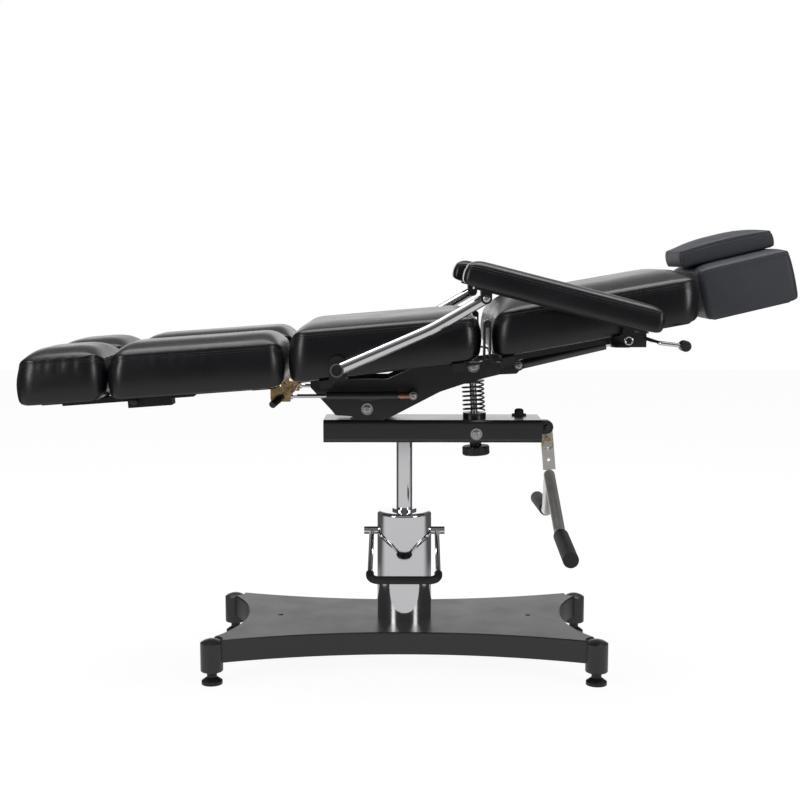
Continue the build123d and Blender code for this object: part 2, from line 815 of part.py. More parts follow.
# The side plate's outline, from its left end round its lower edge, as shares of its size
side_plate_shares = ((0.0, 0.485), (0.098, 0.129), (0.117, 0.049), (0.364, 0.0), (0.607, 0.417),
                     (0.735, 0.558), (0.885, 0.693), (0.963, 0.705), (1.0, 0.846), (0.939, 0.960),
                     (0.790, 0.900), (0.765, 1.020), (0.515, 0.940), (0.499, 0.790), (0.466, 0.770),
                     (0.360, 0.614), (0.145, 0.614), (0.130, 0.690), (0.0, 0.600))


def joggled_strip():
    """The plan of the side plate: flat, then bent outward, then flat again."""
    y, t = side_plate_inner_y, side_plate_thickness
    out = y + joggle_depth
    end = side_plate_right_x + overrun
    start = side_plate_left_x - overrun
    return polygon([(start, y), (joggle_start_x, y), (joggle_end_x, out), (end, out),
                    (end, out + t), (joggle_end_x, out + t), (joggle_start_x, y + t), (start, y + t)])


def above_seat_board():
    """The space over the underside of the seat board, where no frame piece may reach."""
    return seat_frame * box_between((-seat_length, -seat_length, -board_drop),
                                    (seat_length * 2, seat_length, seat_length))


def above_back_board():
    """The space over the underside of the back board."""
    return back_frame * box_between((board_inset, -back_length, -board_drop),
                                    (back_length * 2, back_length, back_length))


def make_side_plates():
    length = side_plate_right_x - side_plate_left_x
    height = side_plate_top_z - side_plate_bottom_z
    points = [(side_plate_left_x + a * length, side_plate_bottom_z + b * height)
              for a, b in side_plate_shares]
    outline = polygon(points)
    outline = fillet(outline.vertices(), side_plate_thickness)
    for x, z in ((tilt_pivot_x, tilt_pivot_z), (screw_top_x, screw_top_z)):
        outline -= Pos(x, z) * Circle(trunnion_journal_radius + running_fit * 2)
    plates = []
    for side in sides:
        strip = Pos(0, 0, side_plate_bottom_z - overrun) * extrude(
            joggled_strip(), amount=height + overrun * 2)
        blank = upright_plate(outline, 0, side_plate_outer_y + joggle_depth)
        plate = (strip & blank) - above_seat_board()
        for rail in make_seat_rails():
            plate -= rail
        plates.append(plate if side == right_side else mirror(plate, about=Plane.XZ))
    return plates


def make_seat_rails():
    """The two cross rails under the seat board."""
    rails = []
    for x in (front_rail_x, rear_rail_x):
        run = (x - seat_start_x) / cos(radians(seat_slope))
        rail = Box(rail_width, rail_half_length * 2, rail_height)
        rail = fillet(rail.edges().filter_by(Axis.Y), rail_height / 6)
        drop = board_drop + rail_height / 2
        rails.append(seat_frame * Pos(run, 0, -drop) * rail)
    return rails


def make_seat_crossmembers():
    inner = side_plate_inner_y
    pivot = cross_bar(tilt_pivot_x, tilt_pivot_z, -inner, inner, tilt_tube_radius)
    front = cross_bar(front_tube_x, front_tube_z, -inner, inner, nose_tube_radius)
    nose_y = inner + joggle_depth
    nose = cross_bar(nose_bolt_x, nose_bolt_z, -nose_y, nose_y, nose_tube_radius)
    return [pivot, front, nose] + make_seat_rails()


def seat_board_z(x):
    """Height of the underside of the seat board."""
    lean = radians(seat_slope)
    return seat_start_z + (x - seat_start_x) * tan(lean) - board_drop / cos(lean)


def make_arm_bracket(side):
    """A flat foot under the seat board, and the ear outside it with the armrest's axle."""
    tube_inner = arm_y - arm_tube_radius - arm_sleeve_rise - seat_gap
    run = (arm_pivot_x - seat_start_x) / cos(radians(seat_slope))
    foot = seat_frame * box_between(
        (run - arm_boss_radius, seat_half_width / 2, -board_drop - arm_cheek_thickness),
        (run + arm_boss_radius, tube_inner, -board_drop))
    top_z = arm_pivot_z + arm_boss_rise
    low_z = seat_board_z(arm_pivot_x) - arm_cheek_thickness / 2
    outline = Pos(arm_pivot_x, top_z) * Circle(arm_boss_radius)
    outline += polygon([(arm_pivot_x - arm_boss_radius, low_z), (arm_pivot_x + arm_boss_radius, low_z),
                        (arm_pivot_x + arm_boss_radius, top_z), (arm_pivot_x - arm_boss_radius, top_z)])
    bracket = foot + upright_plate(outline, tube_inner - arm_cheek_thickness, arm_cheek_thickness)
    bracket += cross_bar(arm_pivot_x, arm_pivot_z, tube_inner - arm_cheek_thickness,
                         arm_y + arm_tube_radius - arm_axle_recess, arm_axle_radius)
    for rail in make_seat_rails():
        bracket -= rail
    return bracket if side == right_side else mirror(bracket, about=Plane.XZ)


def strap_outline(points, thickness):
    """A bent flat strap seen from its edge."""
    path = FilletPolyline(*points, radius=thickness * 1.5)
    return trace(path, line_width=thickness)


def make_seat_straps():
    """Left legs of the hinges between seat and back, each with its knuckle and pin."""
    low_z = seat_board_z(rear_rail_x) - strap_thickness
    rail_x = rear_rail_x + rail_width / 2
    x = back_pivot_x - knuckle_radius + strap_thickness / 2
    foot_x = rail_x + strap_thickness / 2
    points = [(x, back_pivot_z), (x, low_z + strap_thickness * 1.6), (foot_x, low_z),
              (foot_x, low_z - rail_height)]
    outline = strap_outline(points, strap_thickness)
    straps = []
    half = strap_width / 2
    for side in sides:
        strap = upright_plate(outline, strap_y - half, strap_width)
        knuckle = cross_bar(back_pivot_x, back_pivot_z, strap_y + knuckle_gap / 2,
                            strap_y + half, knuckle_radius)
        room = cross_bar(back_pivot_x, back_pivot_z, strap_y - half - overrun,
                         strap_y + knuckle_gap / 2, knuckle_radius + knuckle_gap)
        pin = cross_bar(back_pivot_x, back_pivot_z, strap_y - half, strap_y + half, hinge_pin_radius)
        strap = strap - room + knuckle + pin
        strap -= make_seat_board()
        for rail in make_seat_rails():
            strap -= rail
        straps.append(strap if side == right_side else mirror(strap, about=Plane.XZ))
    return straps


def make_leg_hinge_lugs():
    """Barrels under the front of the seat board, which carry the leg hinge pins."""
    lugs = []
    board_front = seat_start_x + board_inset
    for y_centre in leg_barrel_places():
        half = leg_barrel_length / 2
        barrel = cross_bar(leg_hinge_x, leg_hinge_z, y_centre - half, y_centre + half,
                           leg_barrel_radius)
        pin = cross_bar(leg_hinge_x, leg_hinge_z, y_centre - half * 2, y_centre + half * 2,
                        hinge_pin_radius)
        end_x = board_front + leg_strap_length
        top = strap_outline([(leg_hinge_x, leg_hinge_z), (leg_hinge_x + leg_barrel_radius * 1.5,
                             leg_hinge_z + leg_strap_thickness),
                             (board_front, seat_board_z(board_front) - leg_strap_thickness / 2),
                             (end_x, seat_board_z(end_x) - leg_strap_thickness / 2)],
                            leg_strap_thickness)
        strap = upright_plate(top, y_centre - half, leg_barrel_length)
        strap -= make_seat_board()
        for rail in make_seat_rails():
            strap -= rail
        lugs.append(barrel + pin + strap)
    return lugs


def leg_barrel_places():
    places = []
    for side in sides:
        for offset_share in (-1, 1):
            places.append(side * leg_y + offset_share * leg_barrel_y)
    return places


def make_strut_studs():
    """Studs that stand out from the side plates and carry the leg lock struts."""
    end_y = strut_y + strut_eye_width / 2 + seat_gap
    studs = []
    for side in sides:
        stud = cross_bar(strut_rear_x, strut_rear_z, side * side_plate_outer_y, side * end_y,
                         strut_stud_radius)
        stud += cross_bar(strut_rear_x, strut_rear_z, side * side_plate_outer_y,
                          side * (strut_y - strut_eye_width / 2 - seat_gap), strut_eye_radius)
        studs.append(stud)
    return studs


def make_seat_brackets():
    return ([make_arm_bracket(side) for side in sides] + make_seat_straps()
            + make_leg_hinge_lugs() + make_strut_studs())


def make_seat_fasteners():
    """Button-head bolts with washers on the outer faces of the side plates."""
    bolts = []
    for side in sides:
        face = side * side_plate_outer_y
        nose_face = side * (side_plate_outer_y + joggle_depth)
        bolts.append(button_head(tilt_pivot_x, tilt_pivot_z, face, side))
        bolts.append(button_head(front_tube_x, front_tube_z, face, side,
                                 washer=bolt_head_radius, head=bolt_head_radius * 0.7))
        stud_end = side * (strut_y + strut_eye_width / 2 + seat_gap)
        bolts.append(button_head(strut_rear_x, strut_rear_z, stud_end, side,
                                 washer=strut_eye_radius, head=strut_stud_radius))
        if side == right_side:
            bolts.append(button_head(nose_bolt_x, nose_bolt_z, nose_face, side,
                                     washer=bolt_head_radius * 1.2, head=bolt_head_radius * 0.8))
    bolts.append(make_nose_stud())
    return bolts


def make_nose_stud():
    """The long bolt on the left side that carries the recline strut."""
    plate_face = -side_plate_outer_y - joggle_depth
    inner = recline_y + recline_eye_width / 2 + seat_gap
    outer = recline_y - recline_eye_width / 2 - seat_gap
    stud = cross_bar(nose_bolt_x, nose_bolt_z, outer, plate_face, recline_eye_bore)
    stud += cross_bar(nose_bolt_x, nose_bolt_z, inner, plate_face, bolt_head_radius)
    return stud + button_head(nose_bolt_x, nose_bolt_z, outer, left_side,
                              washer=bolt_head_radius, head=bolt_head_radius * 0.8)


def make_seat_board():
    board = box_between((board_inset, board_inset - seat_half_width, -board_drop),
                        (seat_length - board_inset, seat_half_width - board_inset,
                         board_thickness - board_drop))
    board = fillet(board.edges().filter_by(Axis.Z), board_inset)
    return seat_frame * board


def make_seat_cushion():
    pad = cushion(seat_length * cos(radians(seat_slope)), seat_half_width,
                  (seat_seam_start, seat_seam_end), seat_crown, slope=seat_slope)
    return Pos(seat_start_x, 0, seat_start_z) * pad - make_seat_board()


def make_back_cushion():
    pad = cushion(back_length * cos(radians(back_slope)), back_half_width,
                  (back_seam_start, back_seam_end), back_crown, slope=back_slope)
    pad = Pos(back_start_x, 0, back_start_z) * pad - make_back_board()
    for part in make_head_sleeves() + head_bar_channels():
        pad -= part
    return pad


def make_back_board():
    board = box_between((board_inset, board_inset - back_half_width, -board_drop),
                        (back_length - board_inset, back_half_width - board_inset,
                         board_thickness - board_drop))
    board = back_frame * fillet(board.edges().filter_by(Axis.Z), board_inset)
    for part in make_head_sleeves() + head_bar_channels():
        board -= part
    return board


def back_board_z(x):
    """Height of the underside of the back board."""
    lean = radians(back_slope)
    return back_start_z + (x - back_start_x) * tan(lean) - board_drop / cos(lean)


def make_back_rails():
    """Two rails along the back, and two cross rails under its foot end."""
    top = -board_drop
    rails = []
    for side in sides:
        y = side * back_rail_y
        rails.append(back_frame * box_between(
            (board_inset + rail_width, y - rail_height / 2, top - rail_height),
            (back_rail_end, y + rail_height / 2, top)))
        ends = sorted((side * back_cross_start_y, side * rail_half_length))
        rails.append(back_frame * box_between((board_inset, ends[0], top - rail_height),
                                              (board_inset + rail_width, ends[1], top)))
    return rails


def make_back_straps():
    """Right legs of the hinges between seat and back."""
    low_x = back_start_x + board_inset
    low_z = back_board_z(low_x)
    x = back_pivot_x + knuckle_radius - strap_thickness / 2
    lean = radians(back_slope)
    end_x = back_start_x + board_inset * cos(lean) + rail_height * sin(lean) - strap_thickness * 0.2
    bend_z = low_z - rail_height * 0.7
    points = [(x, back_pivot_z), (x, bend_z + strap_thickness), (end_x, bend_z),
              (end_x, bend_z - rail_height / 2)]
    outline = strap_outline(points, strap_thickness)
    straps = []
    half = strap_width / 2
    for side in sides:
        strap = upright_plate(outline, strap_y - half, strap_width)
        room = cross_bar(back_pivot_x, back_pivot_z, strap_y - knuckle_gap / 2,
                         strap_y + half + overrun, knuckle_radius + knuckle_gap)
        knuckle = cross_bar(back_pivot_x, back_pivot_z, strap_y - half,
                            strap_y - knuckle_gap / 2, knuckle_radius)
        bore = cross_bar(back_pivot_x, back_pivot_z, strap_y - half - overrun,
                         strap_y + half + overrun, hinge_pin_radius + running_fit)
        strap = strap - room + knuckle - bore
        strap -= make_back_board()
        for rail in make_back_rails():
            strap -= rail
        straps.append(strap if side == right_side else mirror(strap, about=Plane.XZ))
    return straps


def make_strut_lugs():
    """The two plates under the back between which the recline strut ends."""
    half = strut_lug_length / 2
    low = strut_lug_z - strut_lug_height / 2
    outline = polygon([(strut_lug_x - half, low), (strut_lug_x + half, low),
                       (strut_lug_x + half, back_board_z(strut_lug_x + half)),
                       (strut_lug_x - half, back_board_z(strut_lug_x - half))])
    lugs = []
    for side in sides:
        face = recline_y + side * strut_lug_gap / 2
        y_low = face if side > 0 else face - strut_lug_thickness
        plate = upright_plate(outline, y_low, strut_lug_thickness)
        plate += button_head(strut_lug_x, strut_lug_z, face + side * strut_lug_thickness, side,
                             washer=bolt_head_radius, head=bolt_head_radius * 0.7)
        lugs.append(plate)
    return lugs


def slot_plate_y():
    """Inner face of the plate on the back that guides the armrest's rear pin."""
    return arm_pad_inner_y + arm_cheek_thickness + seat_gap


def make_slot_plate(side):
    """The slotted plate that carries the rear end of an armrest."""
    y = slot_plate_y()
    slot_half = arm_pin_radius + arm_slot_play
    length = arm_slot_back + arm_slot_front
    middle = (arm_slot_front - arm_slot_back) / 2
    slot = SlotCenterToCenter(length, slot_half * 2)
    body = SlotCenterToCenter(length, (slot_half + slot_plate_rim) * 2)
    place = Pos(arm_slot_x, arm_slot_z) * Rot(0, 0, back_slope) * Pos(middle, arm_slot_lift)
    plate = upright_plate(place * (body - slot), y, slot_plate_thickness)
    run_x = arm_slot_x + middle
    top_z = back_board_z(run_x)
    reach = rail_width / 2
    arm_z = arm_slot_z - slot_half - slot_plate_rim / 2
    arm = box_between((run_x - reach, back_rail_y, arm_z - slot_plate_thickness / 2),
                      (run_x + reach, y + slot_plate_thickness, arm_z + slot_plate_thickness / 2))
    post = box_between((run_x - reach, back_rail_y - rail_height / 2, arm_z - slot_plate_thickness / 2),
                       (run_x + reach, back_rail_y + rail_height / 2, top_z))
    slot_room = upright_plate(place * slot, y - overrun, slot_plate_thickness + overrun * 2)
    bracket = plate + (arm - slot_room) + post - above_back_board()
    for rail in make_back_rails():
        bracket -= rail
    return bracket if side == right_side else mirror(bracket, about=Plane.XZ)


def head_bar_z():
    """Height of the headrest bars over the underside of the back cushion."""
    return head_bar_radius + sleeve_wall - board_drop


def head_bar_channels():
    """The round ways through the back's padding in which the headrest bars slide."""
    start = back_length - board_inset - head_sleeve_length
    channels = []
    for side in sides:
        y = side * head_bar_y
        channels.append(back_frame * rod_between((start, y, head_bar_z()),
                                                 (back_length + overrun, y, head_bar_z()),
                                                 head_bar_radius + running_fit))
    return channels


def make_head_sleeves():
    """Tubes let into the back board in which the headrest bars slide."""
    start = back_length - board_inset - head_sleeve_length
    sleeves = []
    for side, channel in zip(sides, head_bar_channels()):
        y = side * head_bar_y
        tube = back_frame * rod_between((start, y, head_bar_z()),
                                        (back_length - board_inset, y, head_bar_z()),
                                        head_bar_radius + sleeve_wall)
        sleeves.append(tube - channel)
    return sleeves


def make_back_frame():
    return (make_back_rails() + make_back_straps() + make_strut_lugs()
            + [make_slot_plate(side) for side in sides] + make_head_sleeves())


def recline_direction():
    run = Vector(strut_lug_x - nose_bolt_x, 0, strut_lug_z - nose_bolt_z)
    return run.normalized(), run.length


def make_recline_tube():
    """The thick tube of the recline strut, hung on the nose bolt."""
    along, _ = recline_direction()
    pivot = Vector(nose_bolt_x, recline_y, nose_bolt_z)
    tube = rod_between(pivot, pivot + along * recline_tube_length, recline_tube_radius)
    tube -= rod_between(pivot + along * recline_tube_radius * 2,
                        pivot + along * (recline_tube_length + overrun),
                        recline_rod_radius + running_fit)
    half = recline_eye_width / 2
    tube += cross_bar(nose_bolt_x, nose_bolt_z, recline_y - half, recline_y + half,
                      recline_tube_radius * 1.1)
    tube -= cross_bar(nose_bolt_x, nose_bolt_z, recline_y - half * 2, recline_y + half * 2,
                      recline_eye_bore + running_fit)
    return tube


def make_recline_rod():
    along, length = recline_direction()
    pivot = Vector(nose_bolt_x, recline_y, nose_bolt_z)
    end = pivot + along * length
    rod = rod_between(pivot + along * recline_tube_radius * 3, end, recline_rod_radius)
    half = recline_eye_width / 2
    rod += cross_bar(end.X, end.Z, recline_y - half, recline_y + half, recline_eye_radius)
    return rod


def make_release_crank():
    """The cross shaft with its bent arm, and the knob at its end."""
    inner = recline_y - strut_lug_gap / 2 - strut_lug_thickness
    points = [(crank_x, inner, crank_z), (crank_x, crank_outer_y, crank_z),
              (crank_knob_x, crank_outer_y, crank_knob_z)]
    arm = pipe(points, crank_shaft_radius * 2, crank_shaft_radius)
    far = crank_outer_y - crank_knob_length / 2
    near = crank_outer_y + crank_knob_length / 2
    knob = cross_bar(crank_knob_x, crank_knob_z, far, near, crank_knob_radius)
    knob = fillet(knob.edges().filter_by(GeomType.CIRCLE), crank_knob_radius / 3)
    return [arm - knob, knob]


def make_headrest_cushion():
    pad = cushion(head_length, head_half_width, (head_seam, head_seam), head_crown,
                  end_radii=(block_end_radius, block_end_radius))
    pad = head_frame * pad - make_headrest_bars()[0]
    for channel in headrest_channels():
        pad -= channel
    return pad


def headrest_channels():
    """The ways by which the bars enter the headrest."""
    channels = []
    for side in sides:
        y = side * head_bar_y
        channels.append(back_frame * rod_between((back_length, y, head_bar_z()),
                                                 (back_length + head_length * 0.7, y, head_bar_z()),
                                                 head_bar_radius))
    return channels


def make_headrest_bars():
    """Two bars in the back's sleeves, joined by the board inside the headrest."""
    end = back_length + head_length * 0.7
    board = head_frame * box_between(
        (board_inset, -head_half_width + board_inset, -board_drop),
        (head_length - board_inset, head_half_width - board_inset, head_board_thickness - board_drop))
    over = head_frame * box_between((board_inset, -head_half_width, 0),
                                    (head_length - board_inset, head_half_width, head_seam))
    for side in sides:
        y = side * head_bar_y
        bar = rod_between((end - head_bar_length, y, head_bar_z()), (end, y, head_bar_z()),
                          head_bar_radius)
        foot = box_between((back_length, y - head_bar_radius, -head_seam),
                           (end, y + head_bar_radius, head_bar_z()))
        board += back_frame * bar
        board += (back_frame * foot) & over
    return [board]


def make_pillow():
    pad = cushion(pillow_length, pillow_half_width, (pillow_seam, pillow_seam), pillow_crown,
                  end_radii=(block_end_radius, block_end_radius))
    return head_frame * Pos(-pillow_overhang, 0, head_seam + head_crown + seat_gap) * pad


def make_arm_tube(side):
    """The bent tube between the seat's pivot and the armrest pad."""
    y = arm_y
    points = [(arm_pivot_x, y, arm_pivot_z), (arm_bend_x, y, arm_bend_z), (arm_pin_x, y, arm_pin_z)]
    tube = pipe(points, arm_bend_radius, arm_tube_radius)
    joints = ((arm_pivot_x, arm_pivot_z, arm_sleeve_radius, arm_axle_radius),
              (arm_pin_x, arm_pin_z, arm_tube_radius, arm_pin_radius))
    half = arm_tube_radius + arm_sleeve_rise
    for x, z, outer, inner in joints:
        tube += cross_bar(x, z, y - half, y + half, outer)
        tube -= cross_bar(x, z, y - arm_tube_radius * 2, y + arm_tube_radius * 2,
                          inner + running_fit)
    return tube if side == right_side else mirror(tube, about=Plane.XZ)


def arm_pad_y():
    return arm_pad_inner_y + arm_pad_width / 2


def cheek(x, z, y_low, thickness, top_z):
    """A hanger under the armrest pad that ends round a pin."""
    flat = Pos(x, z) * Circle(arm_cheek_radius)
    flat += polygon([(x - arm_cheek_radius, z), (x + arm_cheek_radius, z),
                     (x + arm_cheek_radius, top_z), (x - arm_cheek_radius, top_z)])
    return upright_plate(flat, y_low, thickness)


def make_arm_plate(side):
    """The plate under an armrest pad, with its front hangers and its rear pin."""
    start = (arm_pad_length - arm_plate_length) / 2
    y = arm_pad_y()
    plate = arm_pad_frame * box_between(
        (start, y - arm_plate_width / 2, -arm_plate_thickness),
        (start + arm_plate_length, y + arm_plate_width / 2, 0))
    above = arm_pad_frame * box_between((-arm_pad_length, 0, 0),
                                        (arm_pad_length * 2, y * 2, arm_pad_length))
    hangers = None
    reach = arm_tube_radius + arm_sleeve_rise + seat_gap * 2
    for y_low in (arm_y - reach - arm_cheek_thickness, arm_y + reach):
        hanger = cheek(arm_pin_x, arm_pin_z, y_low, arm_cheek_thickness, arm_pin_z + arm_pad_seam)
        hangers = hanger if hangers is None else hangers + hanger
    hangers += cross_bar(arm_pin_x, arm_pin_z, arm_y - reach, arm_y + reach, arm_pin_radius)
    rear_y = slot_plate_y() + slot_plate_thickness + seat_gap
    hangers += cheek(arm_slot_x, arm_slot_z, rear_y, arm_cheek_thickness, arm_slot_z + arm_pad_seam)
    hangers += cross_bar(arm_slot_x, arm_slot_z, slot_plate_y(), rear_y, arm_pin_radius)
    body = plate + (hangers - above)
    return body if side == right_side else mirror(body, about=Plane.XZ)


def make_arm_pad(side):
    pad = cushion(arm_pad_length, arm_pad_width / 2, (arm_pad_seam, arm_pad_seam), arm_pad_crown,
                  end_radii=pad_end_radii, draw=side_draw / 3)
    return arm_pad_frame * Pos(0, side * arm_pad_y(), 0) * pad


def make_leg_cushion(side):
    """A leg pad, with its lower end towards the foot."""
    rise = leg_length * sin(radians(leg_slope))
    run = leg_length * cos(radians(leg_slope))
    pad = cushion(run, leg_half_width, (leg_seam, leg_seam), leg_crown, slope=leg_slope)
    return Pos(leg_end_x - run, side * leg_y, leg_end_z - rise) * pad - make_leg_board(side)


def make_foot_cushion(side):
    rise = (leg_length + foot_gap + foot_length) * sin(radians(leg_slope)) + seat_gap
    run = foot_length * cos(radians(leg_slope))
    start_x = leg_end_x - (leg_length + foot_gap + foot_length) * cos(radians(leg_slope))
    pad = cushion(run, leg_half_width, (foot_seam, foot_seam), foot_crown, slope=leg_slope,
                  end_radii=(foot_end_rounding, cushion_end_radius))
    return Pos(start_x, side * leg_y, leg_end_z - rise) * pad - make_foot_board(side)


def make_leg_board(side):
    half = leg_half_width - board_inset
    y = side * leg_y
    return leg_frame * box_between((-leg_length + board_inset, y - half, -board_drop),
                                   (-board_inset, y + half, board_thickness - board_drop))


def make_leg_frame(side):
    """The board in a leg pad, with its hinge barrels, slide sleeve and strut cheeks."""
    y = side * leg_y
    inner_w = slide_bar_width / 2 + seat_gap
    depth = slide_bar_height + seat_gap * 2
    top = -board_drop
    sleeve = box_between((-sleeve_start - sleeve_length, y - inner_w - sleeve_wall,
                          top - depth - sleeve_floor),
                         (-sleeve_start, y + inner_w + sleeve_wall, top))
    sleeve -= box_between((-sleeve_start - sleeve_length * 2, y - inner_w, top - depth),
                          (0, y + inner_w, top))
    sleeve = leg_frame * sleeve - clamp_stem(side, clamp_stem_radius + running_fit, overrun)
    frame = make_leg_board(side) + sleeve
    for y_centre in leg_barrel_places():
        if y_centre * side > 0 and abs(abs(y_centre) - leg_y) <= leg_barrel_y * 1.01:
            frame += make_leg_barrels(y_centre)
    return [frame] + make_strut_cheeks(side)


def clamp_stem(side, radius, extra=0):
    """The clamp's round stem, from the slide bar out through the sleeve's outer wall."""
    inner = leg_y + slide_bar_width / 2 + seat_gap
    ends = [(-clamp_knob_x, side * (inner + seat_gap - extra * 0.1), -clamp_knob_drop),
            (-clamp_knob_x, side * (inner + sleeve_wall + seat_gap * 2 + extra), -clamp_knob_drop)]
    return leg_frame * rod_between(*ends, radius)


def make_leg_barrels(y_centre):
    """The leg's two barrels beside one of the seat's barrels, on a strap to the board."""
    half = leg_barrel_length / 2
    parts = None
    for share in (-1, 1):
        near = y_centre + share * (half + seat_gap)
        far = y_centre + share * half * 2
        low, high = min(near, far), max(near, far)
        barrel = cross_bar(leg_hinge_x, leg_hinge_z, low, high, leg_barrel_radius)
        x_end = leg_end_x - board_inset - leg_strap_length
        z_board = leg_end_z - (leg_end_x - x_end) * tan(radians(leg_slope)) - board_drop
        x_near = leg_end_x - board_inset
        z_near = leg_end_z - board_inset * tan(radians(leg_slope)) - board_drop
        t = leg_strap_thickness
        line = strap_outline([(leg_hinge_x, leg_hinge_z), (leg_hinge_x - leg_barrel_radius * 1.5,
                              leg_hinge_z + t / 2), (x_near, z_near - t / 2), (x_end, z_board - t / 2)],
                             t)
        strap = upright_plate(line, low, high - low)
        piece = barrel + strap
        parts = piece if parts is None else parts + piece
    return parts - cross_bar(leg_hinge_x, leg_hinge_z, y_centre - leg_barrel_length * 1.2,
                             y_centre + leg_barrel_length * 1.2, hinge_pin_radius + running_fit)


def make_strut_cheeks(side):
    """The two cheeks under a leg board between which the strut's block lies."""
    inner = strut_block_width / 2 + strut_cheek_gap
    cheeks = []
    half = strut_cheek_width / 2
    for share in (-1, 1):
        near = side * strut_y + share * inner
        far = near + share * strut_cheek_thickness
        cheeks.append(box_between((strut_front_x - half, min(near, far), strut_front_z - strut_rod_radius),
                                  (strut_front_x + half, max(near, far), leg_end_z)))
    above = leg_frame * box_between((-leg_length, -leg_y * 3, -board_drop),
                                    (leg_length, leg_y * 3, leg_length))
    return [piece - above for piece in cheeks]


def make_foot_board(side):
    half = leg_half_width - board_inset
    y = side * leg_y
    far = -leg_length - foot_gap - foot_length
    return leg_frame * box_between(
        (far + foot_board_inset, y - half, -board_drop - seat_gap),
        (-leg_length - foot_gap - board_inset, y + half, board_thickness - board_drop - seat_gap))


def make_foot_frame(side):
    """The board in a foot pad, with the flat bar that slides in the leg's sleeve."""
    y = side * leg_y
    far = -leg_length - foot_gap - foot_length
    top = -board_drop - seat_gap
    bar = box_between((far + foot_board_inset + board_inset, y - slide_bar_width / 2,
                       top - slide_bar_height),
                      (-leg_length + slide_bar_reach, y + slide_bar_width / 2, top))
    return make_foot_board(side) + leg_frame * bar


def make_clamp_knob(side):
    """The ball knob beside the sleeve that clamps the foot slide."""
    reach = leg_y + slide_bar_width / 2 + seat_gap * 3 + sleeve_wall
    ball = Pos(-clamp_knob_x, side * (reach + clamp_knob_radius * 0.9), -clamp_knob_drop) * Sphere(
        clamp_knob_radius)
    room = box_between((-clamp_knob_x - clamp_knob_radius, -reach, -leg_seam),
                       (-clamp_knob_x + clamp_knob_radius, reach, leg_seam))
    return clamp_stem(side, clamp_stem_radius, seat_gap) + leg_frame * (ball - room)


def strut_direction():
    run = Vector(strut_front_x - strut_rear_x, 0, strut_front_z - strut_rear_z)
    return run.normalized(), run.length


def make_strut_housing(side):
    """The lock strut's housing with its nut and its eye on the stud."""
    along, _ = strut_direction()
    y = side * strut_y
    pivot = Vector(strut_rear_x, y, strut_rear_z)
    start = pivot + along * strut_housing_start
    end = start + along * strut_housing_length
    housing = rod_between(start, end, strut_housing_radius)
    rear = start - along * strut_nut_length
    nut = rod_between(rear, start, strut_rod_radius * 1.6)
    half = strut_eye_width / 2
    eye = cross_bar(strut_rear_x, strut_rear_z, y - half, y + half, strut_eye_radius)
    eye += rod_between(pivot, rear, strut_eye_radius)
    eye -= cross_bar(strut_rear_x, strut_rear_z, y - half * 2, y + half * 2,
                     strut_stud_radius + running_fit)
    bore = rod_between(start, end + along * overrun, strut_rod_radius + running_fit)
    return housing + nut + eye - bore


def make_strut_rod(side):
    """The sliding rod with its nut and the brass block at its front end."""
    along, length = strut_direction()
    y = side * strut_y
    pivot = Vector(strut_rear_x, y, strut_rear_z)
    front = pivot + along * (length + strut_block_ahead - strut_block_length)
    rod = rod_between(front, front - along * (strut_rod_depth), strut_rod_radius)
    rod += rod_between(front, front - along * strut_nut_length, strut_rod_radius * 1.6)
    block = box_between((-strut_block_ahead, -strut_block_width / 2, -strut_block_height / 2),
                        (strut_block_length - strut_block_ahead, strut_block_width / 2,
                         strut_block_height / 2))
    block = chamfer(block.edges().filter_by(Axis.Y), strut_block_height / 10)
    block = Pos(strut_front_x, y, strut_front_z) * block
    return block + rod


def make_lock_lever(side):
    """The grip that releases the lock strut, standing out from the block's outer face."""
    face_y = strut_y + strut_block_width / 2 + seat_gap * 3
    start = Vector(strut_front_x + lever_start, face_y, strut_front_z)
    run = Vector(*lever_run_shares).normalized()
    stem_end = start + run * (lever_stem_radius * 3)
    stem = rod_between(start - run * lever_stem_radius, stem_end + run * lever_stem_radius,
                       lever_stem_radius)
    grip = rod_between(stem_end, stem_end + run * lever_length, lever_radius)
    grip = fillet(grip.edges().filter_by(GeomType.CIRCLE), lever_radius / 3)
    room = box_between((start.X - lever_length, face_y - lever_length, start.Z - lever_length),
                       (start.X + lever_length, face_y, start.Z + lever_length))
    boss = cross_bar(start.X, start.Z, face_y, face_y + lever_stem_radius, lever_stem_radius * 1.6)
    lever = stem + grip - room + boss
    return lever if side == right_side else mirror(lever, about=Plane.XZ)


